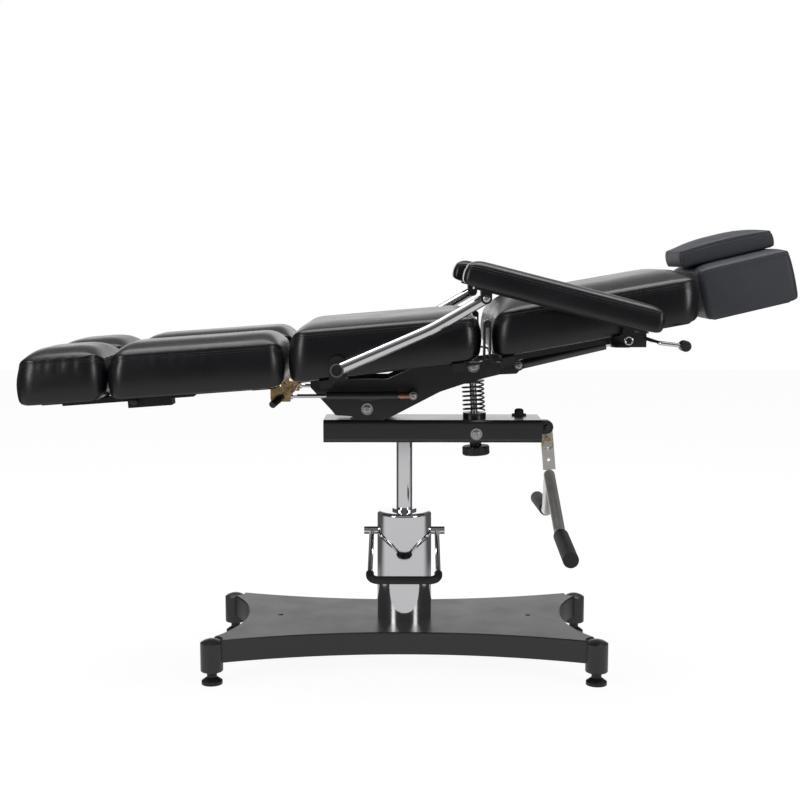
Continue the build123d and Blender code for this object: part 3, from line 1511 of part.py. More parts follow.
def node_shapes():
    """Every node of the chair by name."""
    nodes = {
        "base_plate": [make_base_plate()],
        "corner_columns": make_columns(),
        "pump_cover": [make_pump_cover()],
        "pump_cylinder": make_pump_cylinder(),
        "piston_rod": [make_piston()],
        "pedal_arms": [make_pedal()],
        "pedal_sleeve": [make_pedal_sleeve()],
        "beam": [make_beam()],
        "beam_fittings": make_beam_fittings() + make_beam_lock_ears(),
        "spring_collar": [make_spring_collar()],
        "beam_bumper": [make_bumper()],
        "lower_trunnion": [make_lower_trunnion()],
        "upper_trunnion": [make_upper_trunnion()],
        "tilt_screw": [make_tilt_screw()],
        "tilt_handwheel": [make_handwheel()],
        "tilt_spring": [make_tilt_spring()],
        "lock_fork": make_lock_fork(),
        "fork_grips": make_fork_grips(),
        "linch_pin": [make_linch_pin()],
        "seat_side_plates": make_side_plates(),
        "seat_crossmembers": make_seat_crossmembers(),
        "seat_brackets": make_seat_brackets(),
        "seat_fasteners": make_seat_fasteners(),
        "seat_board": [make_seat_board()],
        "seat_cushion": [make_seat_cushion()],
        "back_board": [make_back_board()],
        "back_cushion": [make_back_cushion()],
        "back_frame": make_back_frame(),
        "recline_tube": [make_recline_tube()],
        "recline_rod": [make_recline_rod()],
        "release_crank": make_release_crank(),
        "headrest_bars": make_headrest_bars(),
        "headrest_cushion": [make_headrest_cushion()],
        "head_pillow": [make_pillow()],
    }
    for x, y in column_places():
        end = "head" if x > 0 else "foot"
        hand = "left" if y < 0 else "right"
        nodes[f"levelling_foot_{end}_{hand}"] = [make_foot(x, y)]
    for side in sides:
        hand = "left" if side < 0 else "right"
        nodes[f"armrest_tube_{hand}"] = [make_arm_tube(side)]
        nodes[f"armrest_plate_{hand}"] = [make_arm_plate(side)]
        nodes[f"armrest_pad_{hand}"] = [make_arm_pad(side)]
        nodes[f"leg_frame_{hand}"] = make_leg_frame(side)
        nodes[f"leg_cushion_{hand}"] = [make_leg_cushion(side)]
        nodes[f"foot_frame_{hand}"] = [make_foot_frame(side)]
        nodes[f"foot_cushion_{hand}"] = [make_foot_cushion(side)]
        nodes[f"clamp_knob_{hand}"] = [make_clamp_knob(side)]
        nodes[f"leg_strut_housing_{hand}"] = [make_strut_housing(side)]
        nodes[f"leg_strut_rod_{hand}"] = [make_strut_rod(side)]
        nodes[f"leg_strut_lever_{hand}"] = [make_lock_lever(side)]
    return nodes


def plan_middle_x(nodes):
    """Where the middle of the plan lies, measured from the swivel axis."""
    boxes = [shape.bounding_box() for shapes in nodes.values() for shape in shapes]
    return (min(box.min.X for box in boxes) + max(box.max.X for box in boxes)) / 2


def main():
    os.makedirs("parts", exist_ok=True)
    nodes = node_shapes()
    middle_x = plan_middle_x(nodes)
    print("swivel axis at x", round(-middle_x, 3))
    for name, shapes in nodes.items():
        solids = [Pos(-middle_x, 0, 0) * solid for shape in shapes for solid in shape.solids()]
        export_step(Compound(solids), f"parts/{name}.step")


if __name__ == "__main__":
    main()
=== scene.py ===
# %% [markdown]
# A tattoo chair, laid nearly flat. The steel frame comes from the measured model, so this file
# keeps its place and size and adds what a camera sees: upholstery, paint, chrome and light.
# Everything is in metres, with +X towards the head end and +Z up.

# %% Load the measured model
import bpy
import bmesh
import json
import math
from mathutils import Matrix, Vector


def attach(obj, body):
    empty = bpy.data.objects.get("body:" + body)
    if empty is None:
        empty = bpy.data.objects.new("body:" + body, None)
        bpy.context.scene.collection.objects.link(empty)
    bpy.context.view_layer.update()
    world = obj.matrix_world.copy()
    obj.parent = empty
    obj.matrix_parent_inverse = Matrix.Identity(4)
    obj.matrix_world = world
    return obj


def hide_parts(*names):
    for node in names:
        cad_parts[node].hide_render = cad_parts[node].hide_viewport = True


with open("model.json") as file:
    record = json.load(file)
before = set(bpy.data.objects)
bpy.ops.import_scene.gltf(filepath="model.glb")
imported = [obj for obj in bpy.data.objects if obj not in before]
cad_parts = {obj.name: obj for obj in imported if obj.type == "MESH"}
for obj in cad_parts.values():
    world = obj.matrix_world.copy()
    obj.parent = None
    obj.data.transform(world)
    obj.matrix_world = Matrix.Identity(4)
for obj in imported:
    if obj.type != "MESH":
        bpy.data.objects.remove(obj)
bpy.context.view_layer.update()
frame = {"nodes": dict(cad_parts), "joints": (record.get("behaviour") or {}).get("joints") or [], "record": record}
joint_at = {joint["name"]: joint for joint in frame["joints"]}
swivel_x = joint_at["swivel"]["pos_m"][0]

# %% [markdown]
# The chair was measured in millimetres from its swivel axis on the floor. One helper turns such
# a reading into a place in the scene, so every number below can be compared with a drawing.

# %% Places in millimetres
def place(x, y, z):
    return Vector((x / 1000 + swivel_x, y / 1000, z / 1000))


def spot_row(points):
    return [place(*point) for point in points]


# %% [markdown]
# The camera stands about 3.4 metres from the chair's side, at the height of a standing
# person's chest, and looks slightly down. A lens of 59 mm on a 36 mm sensor gives the same
# mild perspective as the photograph: the two near feet of the base look lower than the far ones.

# %% Camera
camera_data = bpy.data.cameras.new("studio_camera")
camera_data.lens = 59.3
camera_data.sensor_width = 36
camera = bpy.data.objects.new("studio_camera", camera_data)
camera.location = place(9.9, -3390.9, 1047.0)
camera.rotation_euler = (math.radians(90 - 6.155), 0, math.radians(0.36))
bpy.context.scene.collection.objects.link(camera)
bpy.context.scene.camera = camera
print("camera at", [round(c, 3) for c in camera.location])

# %% [markdown]
# Black vinyl shows almost nothing but what it mirrors. In a product studio the wall behind and
# the ceiling are white and the camera's side is dark, so tops that are seen at a flat angle turn
# light grey and the sides stay black. The world does the same: white for the camera and
# behind, dimmer towards the front for everything that is mirrored or lit.

# %% World
world = bpy.data.worlds.new("studio")
bpy.context.scene.world = world
world.use_nodes = True
tree = world.node_tree
tree.nodes.clear()


def add(kind, tree, **values):
    node = tree.nodes.new(kind)
    for name, value in values.items():
        if hasattr(node, name):
            setattr(node, name, value)
        else:
            node.inputs[name].default_value = value
    return node


def ramp(tree, source, low, high, at_low, at_high):
    """A soft step of one value between two places."""
    node = add("ShaderNodeMapRange", tree, interpolation_type="SMOOTHSTEP")
    for key, value in (("From Min", low), ("From Max", high), ("To Min", at_low), ("To Max", at_high)):
        node.inputs[key].default_value = value
    tree.links.new(source, node.inputs["Value"])
    return node.outputs[0]


def combine(tree, operation, first, second):
    node = add("ShaderNodeMath", tree, operation=operation)
    for socket, value in zip(node.inputs, (first, second)):
        if isinstance(value, (int, float)):
            socket.default_value = value
        else:
            tree.links.new(value, socket)
    return node.outputs[0]


def studio_light(tree, x, y):
    """How bright the studio looks towards (x, y) level with the floor: a white wall behind,
    dark flags at its two sides, and a grey room in front."""
    aside = combine(tree, "ABSOLUTE", x, 0.0)
    panel = combine(tree, "MULTIPLY", ramp(tree, y, 0.0, 0.5, 0.0, 1.25),
                    ramp(tree, aside, 0.34, 0.50, 1.0, 0.06))
    return panel, aside


coords = add("ShaderNodeTexCoord", tree)
split = add("ShaderNodeSeparateXYZ", tree)
tree.links.new(coords.outputs["Generated"], split.inputs[0])
panel, aside = studio_light(tree, split.outputs["X"], split.outputs["Y"])
panel = combine(tree, "MULTIPLY", panel, ramp(tree, split.outputs["Z"], 0.12, 0.42, 1.0, 0.18))
overhead = ramp(tree, split.outputs["Z"], 0.35, 0.85, 0.0, 0.42)
level = combine(tree, "MAXIMUM", combine(tree, "MAXIMUM", panel, overhead), 0.09)
lit = add("ShaderNodeBackground", tree, Color=(1, 1, 1, 1))
tree.links.new(level, lit.inputs["Strength"])
white = add("ShaderNodeBackground", tree, Color=(1, 1, 1, 1), Strength=1.0)
ray = add("ShaderNodeLightPath", tree)
chosen = add("ShaderNodeMixShader", tree)
tree.links.new(ray.outputs["Is Camera Ray"], chosen.inputs[0])
tree.links.new(lit.outputs[0], chosen.inputs[1])
tree.links.new(white.outputs[0], chosen.inputs[2])
world_out = add("ShaderNodeOutputWorld", tree)
tree.links.new(chosen.outputs[0], world_out.inputs[0])
bpy.context.scene.view_settings.view_transform = "Standard"

# %% [markdown]
# Three soft boxes: a wide one overhead, and one at each side in front. The side ones draw the
# tall soft highlights at the cushions' corners and the bright lines along the chrome tubes.

# %% Lights
def soft_box(name, x, y, z, width, height, power, aim):
    data = bpy.data.lights.new(name, "AREA")
    data.shape = "RECTANGLE"
    data.size = width
    data.size_y = height
    data.energy = power
    lamp = bpy.data.objects.new(name, data)
    lamp.location = (x, y, z)
    look = Vector(aim) - lamp.location
    lamp.rotation_euler = look.to_track_quat("-Z", "Y").to_euler()
    bpy.context.scene.collection.objects.link(lamp)
    return lamp


soft_box("overhead_box", 0.0, 0.3, 3.2, 3.6, 2.0, 70, (0, 0, 0.6))
soft_box("left_box", -2.6, -2.4, 1.6, 0.9, 1.8, 26, (-0.4, 0, 0.7))
soft_box("right_box", 2.6, -2.4, 1.6, 0.9, 1.8, 26, (0.4, 0, 0.7))

# %% [markdown]
# The floor is white paper. For the camera it is mostly its own white, with a small share of the
# real light, so the chair keeps a faint shadow where it stands and the paper has no edge. In
# reflections the paper is not lit but shows a painted glow, with painted light and shade set by direction.

# %% Floor
floor_mesh = bpy.data.meshes.new("floor")
reach = 9.0
floor_mesh.from_pydata([(-reach, -reach, -0.0005), (reach, -reach, -0.0005),
                        (reach, reach, -0.0005), (-reach, reach, -0.0005)], [], [(0, 1, 2, 3)])
floor = bpy.data.objects.new("floor", floor_mesh)
bpy.context.scene.collection.objects.link(floor)
paper = bpy.data.materials.new("white paper")
paper.use_nodes = True
tree = paper.node_tree
tree.nodes.clear()
matt = add("ShaderNodeBsdfDiffuse", tree, Color=(0.86, 0.86, 0.86, 1))
glow = add("ShaderNodeEmission", tree, Color=(1, 1, 1, 1), Strength=1.09)
ray = add("ShaderNodeLightPath", tree)
seen = add("ShaderNodeMath", tree, operation="MAXIMUM")
tree.links.new(ray.outputs["Is Camera Ray"], seen.inputs[0])
tree.links.new(ray.outputs["Is Transmission Ray"], seen.inputs[1])
share = add("ShaderNodeMath", tree, operation="MULTIPLY")
share.inputs[1].default_value = 0.86
tree.links.new(seen.outputs[0], share.inputs[0])
mixed = add("ShaderNodeMixShader", tree)
where = add("ShaderNodeTexCoord", tree)
spot = add("ShaderNodeSeparateXYZ", tree)
tree.links.new(where.outputs["Object"], spot.inputs[0])
far = add("ShaderNodeVectorMath", tree, operation="LENGTH")
tree.links.new(where.outputs["Object"], far.inputs[0])
distance = combine(tree, "MAXIMUM", far.outputs["Value"], 0.05)
# For glossy rays the paper glows in a painted pattern: bright behind, dark flags at the sides, grey in front.
panel, aside = studio_light(tree, combine(tree, "DIVIDE", spot.outputs["X"], distance),
                            combine(tree, "DIVIDE", spot.outputs["Y"], distance))
front = combine(tree, "MULTIPLY", ramp(tree, spot.outputs["Y"], -0.2, 0.6, 1.0, 0.15),
                ramp(tree, distance, 3.2, 5.5, 0.62, 0.10))
# Painted pool of light: in reflections the paper glows brighter within about a metre of the chair, though no lamp
# lights it there.
near = ramp(tree, distance, 0.5, 1.4, 0.55, 0.0)
painted_floor_glow_level = combine(tree, "MAXIMUM", combine(tree, "MAXIMUM", panel, front), near)
# This emission is the painted reflection of the floor that chrome and vinyl mirror.
painted_floor_reflection = add("ShaderNodeEmission", tree, Color=(1, 1, 1, 1))
tree.links.new(painted_floor_glow_level, painted_floor_reflection.inputs["Strength"])
mirrored = add("ShaderNodeMixShader", tree)
tree.links.new(share.outputs[0], mixed.inputs[0])
tree.links.new(matt.outputs[0], mixed.inputs[1])
tree.links.new(glow.outputs[0], mixed.inputs[2])
tree.links.new(mixed.outputs[0], mirrored.inputs[1])
tree.links.new(painted_floor_reflection.outputs[0], mirrored.inputs[2])
tree.links.new(ray.outputs["Is Glossy Ray"], mirrored.inputs[0])
paper_out = add("ShaderNodeOutputMaterial", tree)
tree.links.new(mirrored.outputs[0], paper_out.inputs[0])
floor_mesh.materials.append(paper)

# %% [markdown]
# Each finish below is one Principled shader with a pattern in its roughness and its bump, at
# the size the real surface has it: leather grain of about a millimetre on the vinyl, the finer
# dimples of powder paint, and long brushed lines on the steel.

# %% Finishes
def finish(name, colour, rough, metal=0.0, spread=0.06, patch=9.0, grain=0.0, grain_size=900.0,
           stretch=(1, 1, 1), coat=0.0, coat_rough=0.1, tint=0.12, kind="noise", spec=0.5):
    material = bpy.data.materials.new(name)
    material.use_nodes = True
    tree = material.node_tree
    shader = tree.nodes["Principled BSDF"]
    shader.inputs["Metallic"].default_value = metal
    shader.inputs["Specular IOR Level"].default_value = spec
    shader.inputs["Coat Weight"].default_value = coat
    shader.inputs["Coat Roughness"].default_value = coat_rough
    where = add("ShaderNodeTexCoord", tree)
    sized = add("ShaderNodeMapping", tree)
    sized.inputs["Scale"].default_value = stretch
    tree.links.new(where.outputs["Object"], sized.inputs["Vector"])
    cloud = add("ShaderNodeTexNoise", tree, Scale=patch, Detail=5.0)
    tree.links.new(sized.outputs[0], cloud.inputs["Vector"])
    rough_range = add("ShaderNodeMapRange", tree)
    for key, value in (("From Min", 0.3), ("From Max", 0.7), ("To Min", max(rough - spread, 0.02)),
                       ("To Max", rough + spread)):
        rough_range.inputs[key].default_value = value
    tree.links.new(cloud.outputs[0], rough_range.inputs["Value"])
    tree.links.new(rough_range.outputs[0], shader.inputs["Roughness"])
    shade = add("ShaderNodeValToRGB", tree)
    shade.color_ramp.elements[0].position = 0.3
    shade.color_ramp.elements[1].position = 0.7
    shade.color_ramp.elements[0].color = (*[c * (1 - tint) for c in colour], 1)
    shade.color_ramp.elements[1].color = (*[min(c * (1 + tint), 1) for c in colour], 1)
    tree.links.new(cloud.outputs[0], shade.inputs[0])
    tree.links.new(shade.outputs[0], shader.inputs["Base Color"])
    if grain:
        if kind == "cells":
            fine = add("ShaderNodeTexVoronoi", tree, Scale=grain_size, feature="SMOOTH_F1")
        else:
            fine = add("ShaderNodeTexNoise", tree, Scale=grain_size, Detail=3.0)
        tree.links.new(sized.outputs[0], fine.inputs["Vector"])
        bump = add("ShaderNodeBump", tree, Strength=grain, Distance=0.0004)
        tree.links.new(fine.outputs[0], bump.inputs["Height"])
        tree.links.new(bump.outputs[0], shader.inputs["Normal"])
    return material


vinyl = finish("black vinyl", (0.0065, 0.0065, 0.0085), 0.30, grain=0.22, grain_size=700, kind="cells",
               spread=0.05, coat=0.12, coat_rough=0.18)
dull_vinyl = finish("grey vinyl", (0.038, 0.041, 0.051), 0.55, grain=0.25, grain_size=700, kind="cells",
                    spread=0.05)
black_paint = finish("black powder paint", (0.010, 0.010, 0.011), 0.38, grain=0.06, grain_size=1200,
                     coat=0.7, coat_rough=0.16)
base_paint = finish("satin base paint", (0.015, 0.015, 0.017), 0.36, grain=0.08, grain_size=1400,
                    coat=0.5, coat_rough=0.26)
chrome = finish("chrome plate", (0.80, 0.80, 0.82), 0.07, metal=1.0, spread=0.02, tint=0.02)
steel = finish("brushed stainless steel", (0.66, 0.65, 0.62), 0.36, metal=0.72, grain=0.03,
               grain_size=260, stretch=(1, 1, 8), tint=0.05)
bolt_steel = finish("bolt steel", (0.60, 0.59, 0.57), 0.24, metal=1.0, tint=0.08, patch=60)
yellow_zinc = finish("yellow zinc plate", (0.58, 0.40, 0.20), 0.30, metal=1.0, tint=0.35, patch=45)
copper = finish("copper plate", (0.42, 0.24, 0.15), 0.34, metal=1.0, tint=0.3, patch=50)
black_rubber = finish("black rubber", (0.014, 0.014, 0.014), 0.62, grain=0.2, grain_size=900)
black_plastic = finish("black moulding", (0.012, 0.012, 0.013), 0.42, grain=0.12, grain_size=1500)
black_spring = finish("black spring coating", (0.012, 0.012, 0.012), 0.30)
black_board = finish("black board cloth", (0.012, 0.012, 0.012), 0.72, grain=0.3, grain_size=1000)
print("finishes", len(bpy.data.materials))

# %% [markdown]
# The measured pieces keep their shape and get these finishes by name.

# %% Finishes on the measured pieces
plain_finish = {
    base_paint: ["base_plate", "corner_columns"],
    black_paint: ["beam", "beam_fittings", "spring_collar",
                  "seat_side_plates", "seat_crossmembers", "back_frame",
                  "recline_tube", "headrest_bars", "armrest_plate_left", "armrest_plate_right"],
    chrome: ["pump_cover", "pump_cylinder", "piston_rod", "armrest_tube_left", "armrest_tube_right", "recline_rod",
             "pedal_arms"],
    bolt_steel: ["tilt_screw", "seat_fasteners"],
    yellow_zinc: ["linch_pin"],
    black_spring: ["tilt_spring"],
    black_rubber: ["fork_grips", "beam_bumper"],
    black_plastic: ["tilt_handwheel", "clamp_knob_left", "clamp_knob_right", "leg_strut_lever_left",
                    "leg_strut_lever_right", "levelling_foot_head_left", "levelling_foot_head_right",
                    "levelling_foot_foot_left", "levelling_foot_foot_right"],
    black_board: ["seat_board", "back_board", "foot_frame_left", "foot_frame_right"],
}


def paint(thing, material):
    thing.data.materials.clear()
    thing.data.materials.append(material)


for material, names in plain_finish.items():
    for name in names:
        paint(frame["nodes"][name], material)
    print(material.name, len(names))

# %% [markdown]
# Some measured pieces carry two finishes, such as a brass block on a chrome rod. Their mesh is
# copied into a new piece that stands in the same place, and each face is painted by where its middle lies.

# %% Pieces with two finishes
def body_named(node):
    return next(body for body, names in frame["record"]["behaviour"]["bodies"].items() if node in names)


def repaint(node, rule, materials):
    """Copy a measured piece and give each face the finish that the rule picks from its middle."""
    source = frame["nodes"][node]
    mesh = source.data.copy()
    mesh.materials.clear()
    for material in materials:
        mesh.materials.append(material)
    for polygon in mesh.polygons:
        polygon.material_index = rule(polygon.center)
    piece = bpy.data.objects.new(node + "_finished", mesh)
    bpy.context.scene.collection.objects.link(piece)
    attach(piece, body_named(node))
    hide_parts(node)
    return piece


def mm_of(point):
    return (point.x - swivel_x) * 1000, point.y * 1000, point.z * 1000


def hinge_rule(centre):
    """Zinc plate for what hangs under the leg boards beside the hinges."""
    x, y, z = mm_of(centre)
    under = 740 - (-284 - x) * math.tan(math.radians(4.2))
    return 1 if x > -345 and z < under - 1 else 0


strut_rear_x = place(22, 0, 0).x
for hand in ("left", "right"):
    repaint(f"leg_strut_housing_{hand}", lambda c: 0 if c.x < strut_rear_x - 0.0365 else 1,
            [black_paint, copper])
    repaint(f"leg_frame_{hand}", hinge_rule, [black_board, yellow_zinc])
    repaint(f"leg_strut_rod_{hand}", lambda c: 0 if c.x > place(-281.5, 0, 0).x else 1,
            [chrome, yellow_zinc])
repaint("release_crank", lambda c: 1 if c.x > place(646, 0, 0).x else 0, [chrome, black_plastic])
repaint("seat_brackets", lambda c: 1 if mm_of(c)[0] < -255 else 0, [black_paint, yellow_zinc])
for node in ("lower_trunnion", "upper_trunnion"):
    repaint(node, lambda c: 1 if abs(mm_of(c)[1]) > 71 else 0, [black_paint, bolt_steel])
print("repainted", 10)


# %% [markdown]
# Small bright parts at the armrests: a domed bolt at the front pivot, a plated ring round the
# rear pin. Each is a profile turned about an axis across the chair.

# %% Turned parts
def turned(name, x, y, z, side, profile, material, body, slot):
    """Turn a profile of (radius, height) in millimetres about the Y axis, outward from y."""
    mesh = bpy.data.meshes.new(name)
    count = 40
    verts = []
    for radius, height in profile:
        for k in range(count):
            angle = math.tau * k / count
            verts.append(place(x + radius * math.cos(angle), side * (y + height),
                               z + radius * math.sin(angle)))
    faces = []
    for row in range(len(profile) - 1):
        for k in range(count):
            n = (k + 1) % count
            a, b = row * count, (row + 1) * count
            faces.append((a + k, a + n, b + n, b + k))
    faces.append(tuple(range(count)))
    faces.append(tuple(reversed([(len(profile) - 1) * count + k for k in range(count)])))
    mesh.from_pydata([tuple(v) for v in verts], [], faces)
    tool = bmesh.new()
    tool.from_mesh(mesh)
    bmesh.ops.recalc_face_normals(tool, faces=tool.faces)
    tool.to_mesh(mesh)
    tool.free()
    mesh.materials.append(material)
    piece = bpy.data.objects.new(name, mesh)
    bpy.context.scene.collection.objects.link(piece)
    for polygon in mesh.polygons:
        polygon.use_smooth = len(polygon.vertices) == 4
    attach(piece, body)
    return piece


front_pin_y = 351.3
rear_pin_y = 330.6
bolt_profile = [(8.5, -0.4), (8.5, 1.6), (8.0, 1.9), (5.6, 1.9), (5.5, 3.0), (5.0, 4.1), (3.9, 4.8),
                (2.6, 5.1), (2.5, 3.2)]
ring_profile = [(10.5, -0.4), (10.5, 2.0), (10.0, 2.6), (7.4, 2.6), (6.9, 2.0), (6.9, 0.4)]
pin_profile = [(6.6, -0.4), (6.6, 1.2), (5.6, 1.8)]
for hand, side in (("left", -1), ("right", 1)):
    body = body_named(f"armrest_plate_{hand}")
    turned(f"front_pin_head_{hand}", 190, front_pin_y, 954, side, bolt_profile, bolt_steel, body, "steel")
    turned(f"rear_pin_ring_{hand}", 522, rear_pin_y, 856, side, ring_profile, chrome, body, "steel")
    turned(f"rear_pin_end_{hand}", 522, rear_pin_y, 856, side, pin_profile, black_plastic, body, "steel")
print("turned parts", 6)

# %% [markdown]
# The swivel lock hangs from the end of the beam: a flat bar of brushed steel and, welded across
# its lower end, a bent tube. The whole piece, bar and tube, is given brushed steel.

# %% Swivel lock
lock_fork = repaint("lock_fork", lambda c: 0, [steel])

# %% [markdown]
# The pedal's bar wears a rubber sleeve that runs round both of its corners.

# %% Pedal sleeve
arm_way = Vector((0, 205, 83)).normalized()
half_path = [arm_way * 31 + Vector((85, 0, 0)), arm_way * 29.5 + Vector((85, 0, 0)),
             arm_way * 25 + Vector((85, 0, 0))]
for step in range(9):
    angle = math.radians(90 * step / 8)
    half_path.append(Vector((63 + 22 * math.cos(angle), 0, 0)) + arm_way * (22 - 22 * math.sin(angle)))
half_path += [Vector((x, 0, 0)) for x in (48, 32, 16, 0)]
whole_path = half_path + [Vector((-p.x, p.y, p.z)) for p in reversed(half_path[:-1])]
sleeve_curve = bpy.data.curves.new("pedal_rubber", "CURVE")
sleeve_curve.dimensions = "3D"
sleeve_curve.bevel_depth = 0.0101
sleeve_curve.bevel_resolution = 6
sleeve_curve.use_fill_caps = True
sleeve_line = sleeve_curve.splines.new("POLY")
sleeve_line.points.add(len(whole_path) - 1)
for number, (point, co) in enumerate(zip(sleeve_line.points, whole_path)):
    point.co = (*place(co.x, co.y - 205, co.z + 256), 1)
    point.radius = 0.72 if number in (0, len(whole_path) - 1) else 1.0
sleeve_curve.materials.append(black_rubber)
pedal_rubber = bpy.data.objects.new("pedal_rubber", sleeve_curve)
bpy.context.scene.collection.objects.link(pedal_rubber)
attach(pedal_rubber, body_named("pedal_sleeve"))
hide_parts("pedal_sleeve")
print("pedal sleeve path points", len(whole_path))

# %% [markdown]
# An upholstered cushion is a board with foam on it and a sewn cover pulled over both. The cover
# has a top panel and a side band, and the seam between them runs round the top edge. The shape
# here is built in rings: up the side band, over the seam and inward over the crowned top.

# %% The plan of a cushion
def plan_ring(half_x, half_y, radius, straight_x, straight_y, corner):
    """Points round a rectangle with round corners, always in the same order and number."""
    radius = min(radius, half_x * 0.98, half_y * 0.98)
    centres = [(half_x - radius, half_y - radius, 0), (-half_x + radius, half_y - radius, 90),
               (-half_x + radius, -half_y + radius, 180), (half_x - radius, -half_y + radius, 270)]
    ring = []
    for number, (cx, cy, start) in enumerate(centres):
        for step in range(corner + 1):
            angle = math.radians(start + 90 * step / corner)
            ring.append((cx + radius * math.cos(angle), cy + radius * math.sin(angle)))
        here = ring[-1]
        nx, ny, turn = centres[(number + 1) % 4]
        angle = math.radians(turn)
        there = (nx + radius * math.cos(angle), ny + radius * math.sin(angle))
        count = straight_x if number % 2 == 0 else straight_y
        for step in range(1, count):
            share = step / count
            ring.append((here[0] + (there[0] - here[0]) * share, here[1] + (there[1] - here[1]) * share))
    return ring


def swell(distance, reach, power=2.4):
    """From 0 at an edge to 1 at a given distance inside it, steep at first."""
    return 1 - (1 - min(max(distance / reach, 0), 1)) ** power


# %% Build a cushion's cover
def arc(share):
    """A quarter of a round, from 0 and steep to 1 and level."""
    share = min(max(share, 0), 1)
    return math.sqrt(1 - (1 - share) ** 2)


def pucker(along, seed, pitch=23.0):
    """Small gathers along a seam: 0 between them, up to 1 in their middle."""
    cell = math.floor(along / pitch)
    best = 0.0
    for number in (cell - 1, cell, cell + 1):
        wobble = math.sin(number * 12.9898 + seed * 7.3) * 43758.5453
        offset = wobble - math.floor(wobble)
        size = 0.35 + 0.65 * abs(math.sin(number * 3.7 + seed))
        best = max(best, size * math.exp(-((along - (number + offset) * pitch) / 6.5) ** 2))
    return best


def cushion_cover(name, length, half_width, seams, crown, corner=40, draw=7, end_drop=(9, 9),
                  edge=(11, 40, 15), reach=(70, 110), band_rows=9, top_rows=14, arch=0.0,
                  low_rise=12, gather=1.3, crease=1.0, grid=8):
    """A closed cover in its own millimetres: x from 0 to length, z = 0 at the board."""
    half_x = length / 2
    straight_x = max(int(length / grid), 6)
    straight_y = max(int(half_width * 2 / grid), 4)
    corners = 9
    edge_rise, edge_x, edge_y = edge

    def near_end(x, depths, run):
        depth = depths[0] if x < half_x else depths[1]
        return depth * (1 - arc(min(x, length - x) / run))

    def edge_z(x):
        flat = seams[0] + (seams[1] - seams[0]) * x / length
        return flat - near_end(x, end_drop, 46) + arch * math.sin(math.pi * x / length)

    def ring_at(inset):
        return plan_ring(half_x - inset, half_width - inset, max(corner - inset, 2),
                         straight_x, straight_y, corners)

    verts, rings = [], []

    def keep(points):
        start = len(verts)
        verts.extend(points)
        rings.append(list(range(start, start + len(points))))

    floor_ring = ring_at(draw + 24)
    keep([(x + half_x, y, near_end(x + half_x, (low_rise, low_rise), 34)) for x, y in floor_ring])
    keep([(x + half_x, y, near_end(x + half_x, (low_rise, low_rise), 34)) for x, y in ring_at(draw + 4)])
    for row in range(band_rows + 1):
        share = row / band_rows
        inset = draw * (1 - math.sin(math.pi * min(share * 0.93 + 0.05, 1)) ** 0.6)
        points = []
        for x, y in ring_at(inset):
            low = near_end(x + half_x, (low_rise, low_rise), 34) + 4
            high = edge_z(x + half_x) - edge_rise
            points.append((x + half_x, y, low + (high - low) * share))
        keep(points)
    seam_ring = len(rings) - 1
    spine_y = half_width - draw
    spine_x = half_x - draw
    for row in range(1, top_rows + 1):
        share = (row / top_rows) ** 1.7
        points = []
        for x, y in ring_at(draw * 0.6):
            if half_x >= half_width:
                sx = max(-(half_x - half_width), min(half_x - half_width, x))
                sy = 0.0
            else:
                sx = 0.0
                sy = max(-(half_width - half_x), min(half_width - half_x, y))
            px, py = x + (sx - x) * share, y + (sy - y) * share
            dx, dy = max(spine_x - abs(px), 0) + 1.5, max(spine_y - abs(py), 0) + 1.5
            rise = edge_rise * arc(dx / edge_x) * arc(dy / edge_y)
            rise += crown * swell(dx, reach[0]) * swell(dy, reach[1])
            points.append((px + half_x, py, edge_z(px + half_x) - edge_rise + rise))
        keep(points)
    gone = 0.0
    seam_points = [verts[i] for i in rings[seam_ring]]
    for k, (x, y, z) in enumerate(seam_points):
        depth = gather * pucker(gone, half_width + length)
        for ring, weight, sunk in ((seam_ring - 2, 0.35, 0.0), (seam_ring - 1, 0.8, 0.2),
                                   (seam_ring, 0.5, 1.5), (seam_ring + 1, 0.8, 0.2),
                                   (seam_ring + 2, 0.3, 0.0)):
            index = rings[ring][k]
            px, py, pz = verts[index]
            size = max(math.hypot(px - half_x, py), 1)
            inward = depth * weight + sunk * crease
            verts[index] = (px - (px - half_x) / size * inward, py - py / size * inward, pz)
        after = seam_points[(k + 1) % len(seam_points)]
        gone += math.dist((x, y, z), after)
    faces = []
    for low, high in zip(rings, rings[1:]):
        for k in range(len(low)):
            n = (k + 1) % len(low)
            faces.append((low[k], low[n], high[n], high[k]))
    faces.append(tuple(reversed(rings[0])))
    mesh = bpy.data.meshes.new(name)
    mesh.from_pydata(verts, [], faces)
    cover = bpy.data.objects.new(name, mesh)
    bpy.context.scene.collection.objects.link(cover)
    pins = cover.vertex_groups.new(name="pins")
    held = [i for ring in rings[:2] for i in ring] + rings[seam_ring]
    pins.add(held, 1.0, "REPLACE")
    return cover, rings, seam_ring


# %% [markdown]
# Between its seams the cover is slack by a hair and the foam pushes it out. A short cloth
# simulation with the seams pinned and a little inner pressure gives the soft swelling and the
# fine puckers at the corners that a drawn curve would miss. A cap keeps every point within a few
# millimetres of the drawn shape, because the cushions must clear each other.

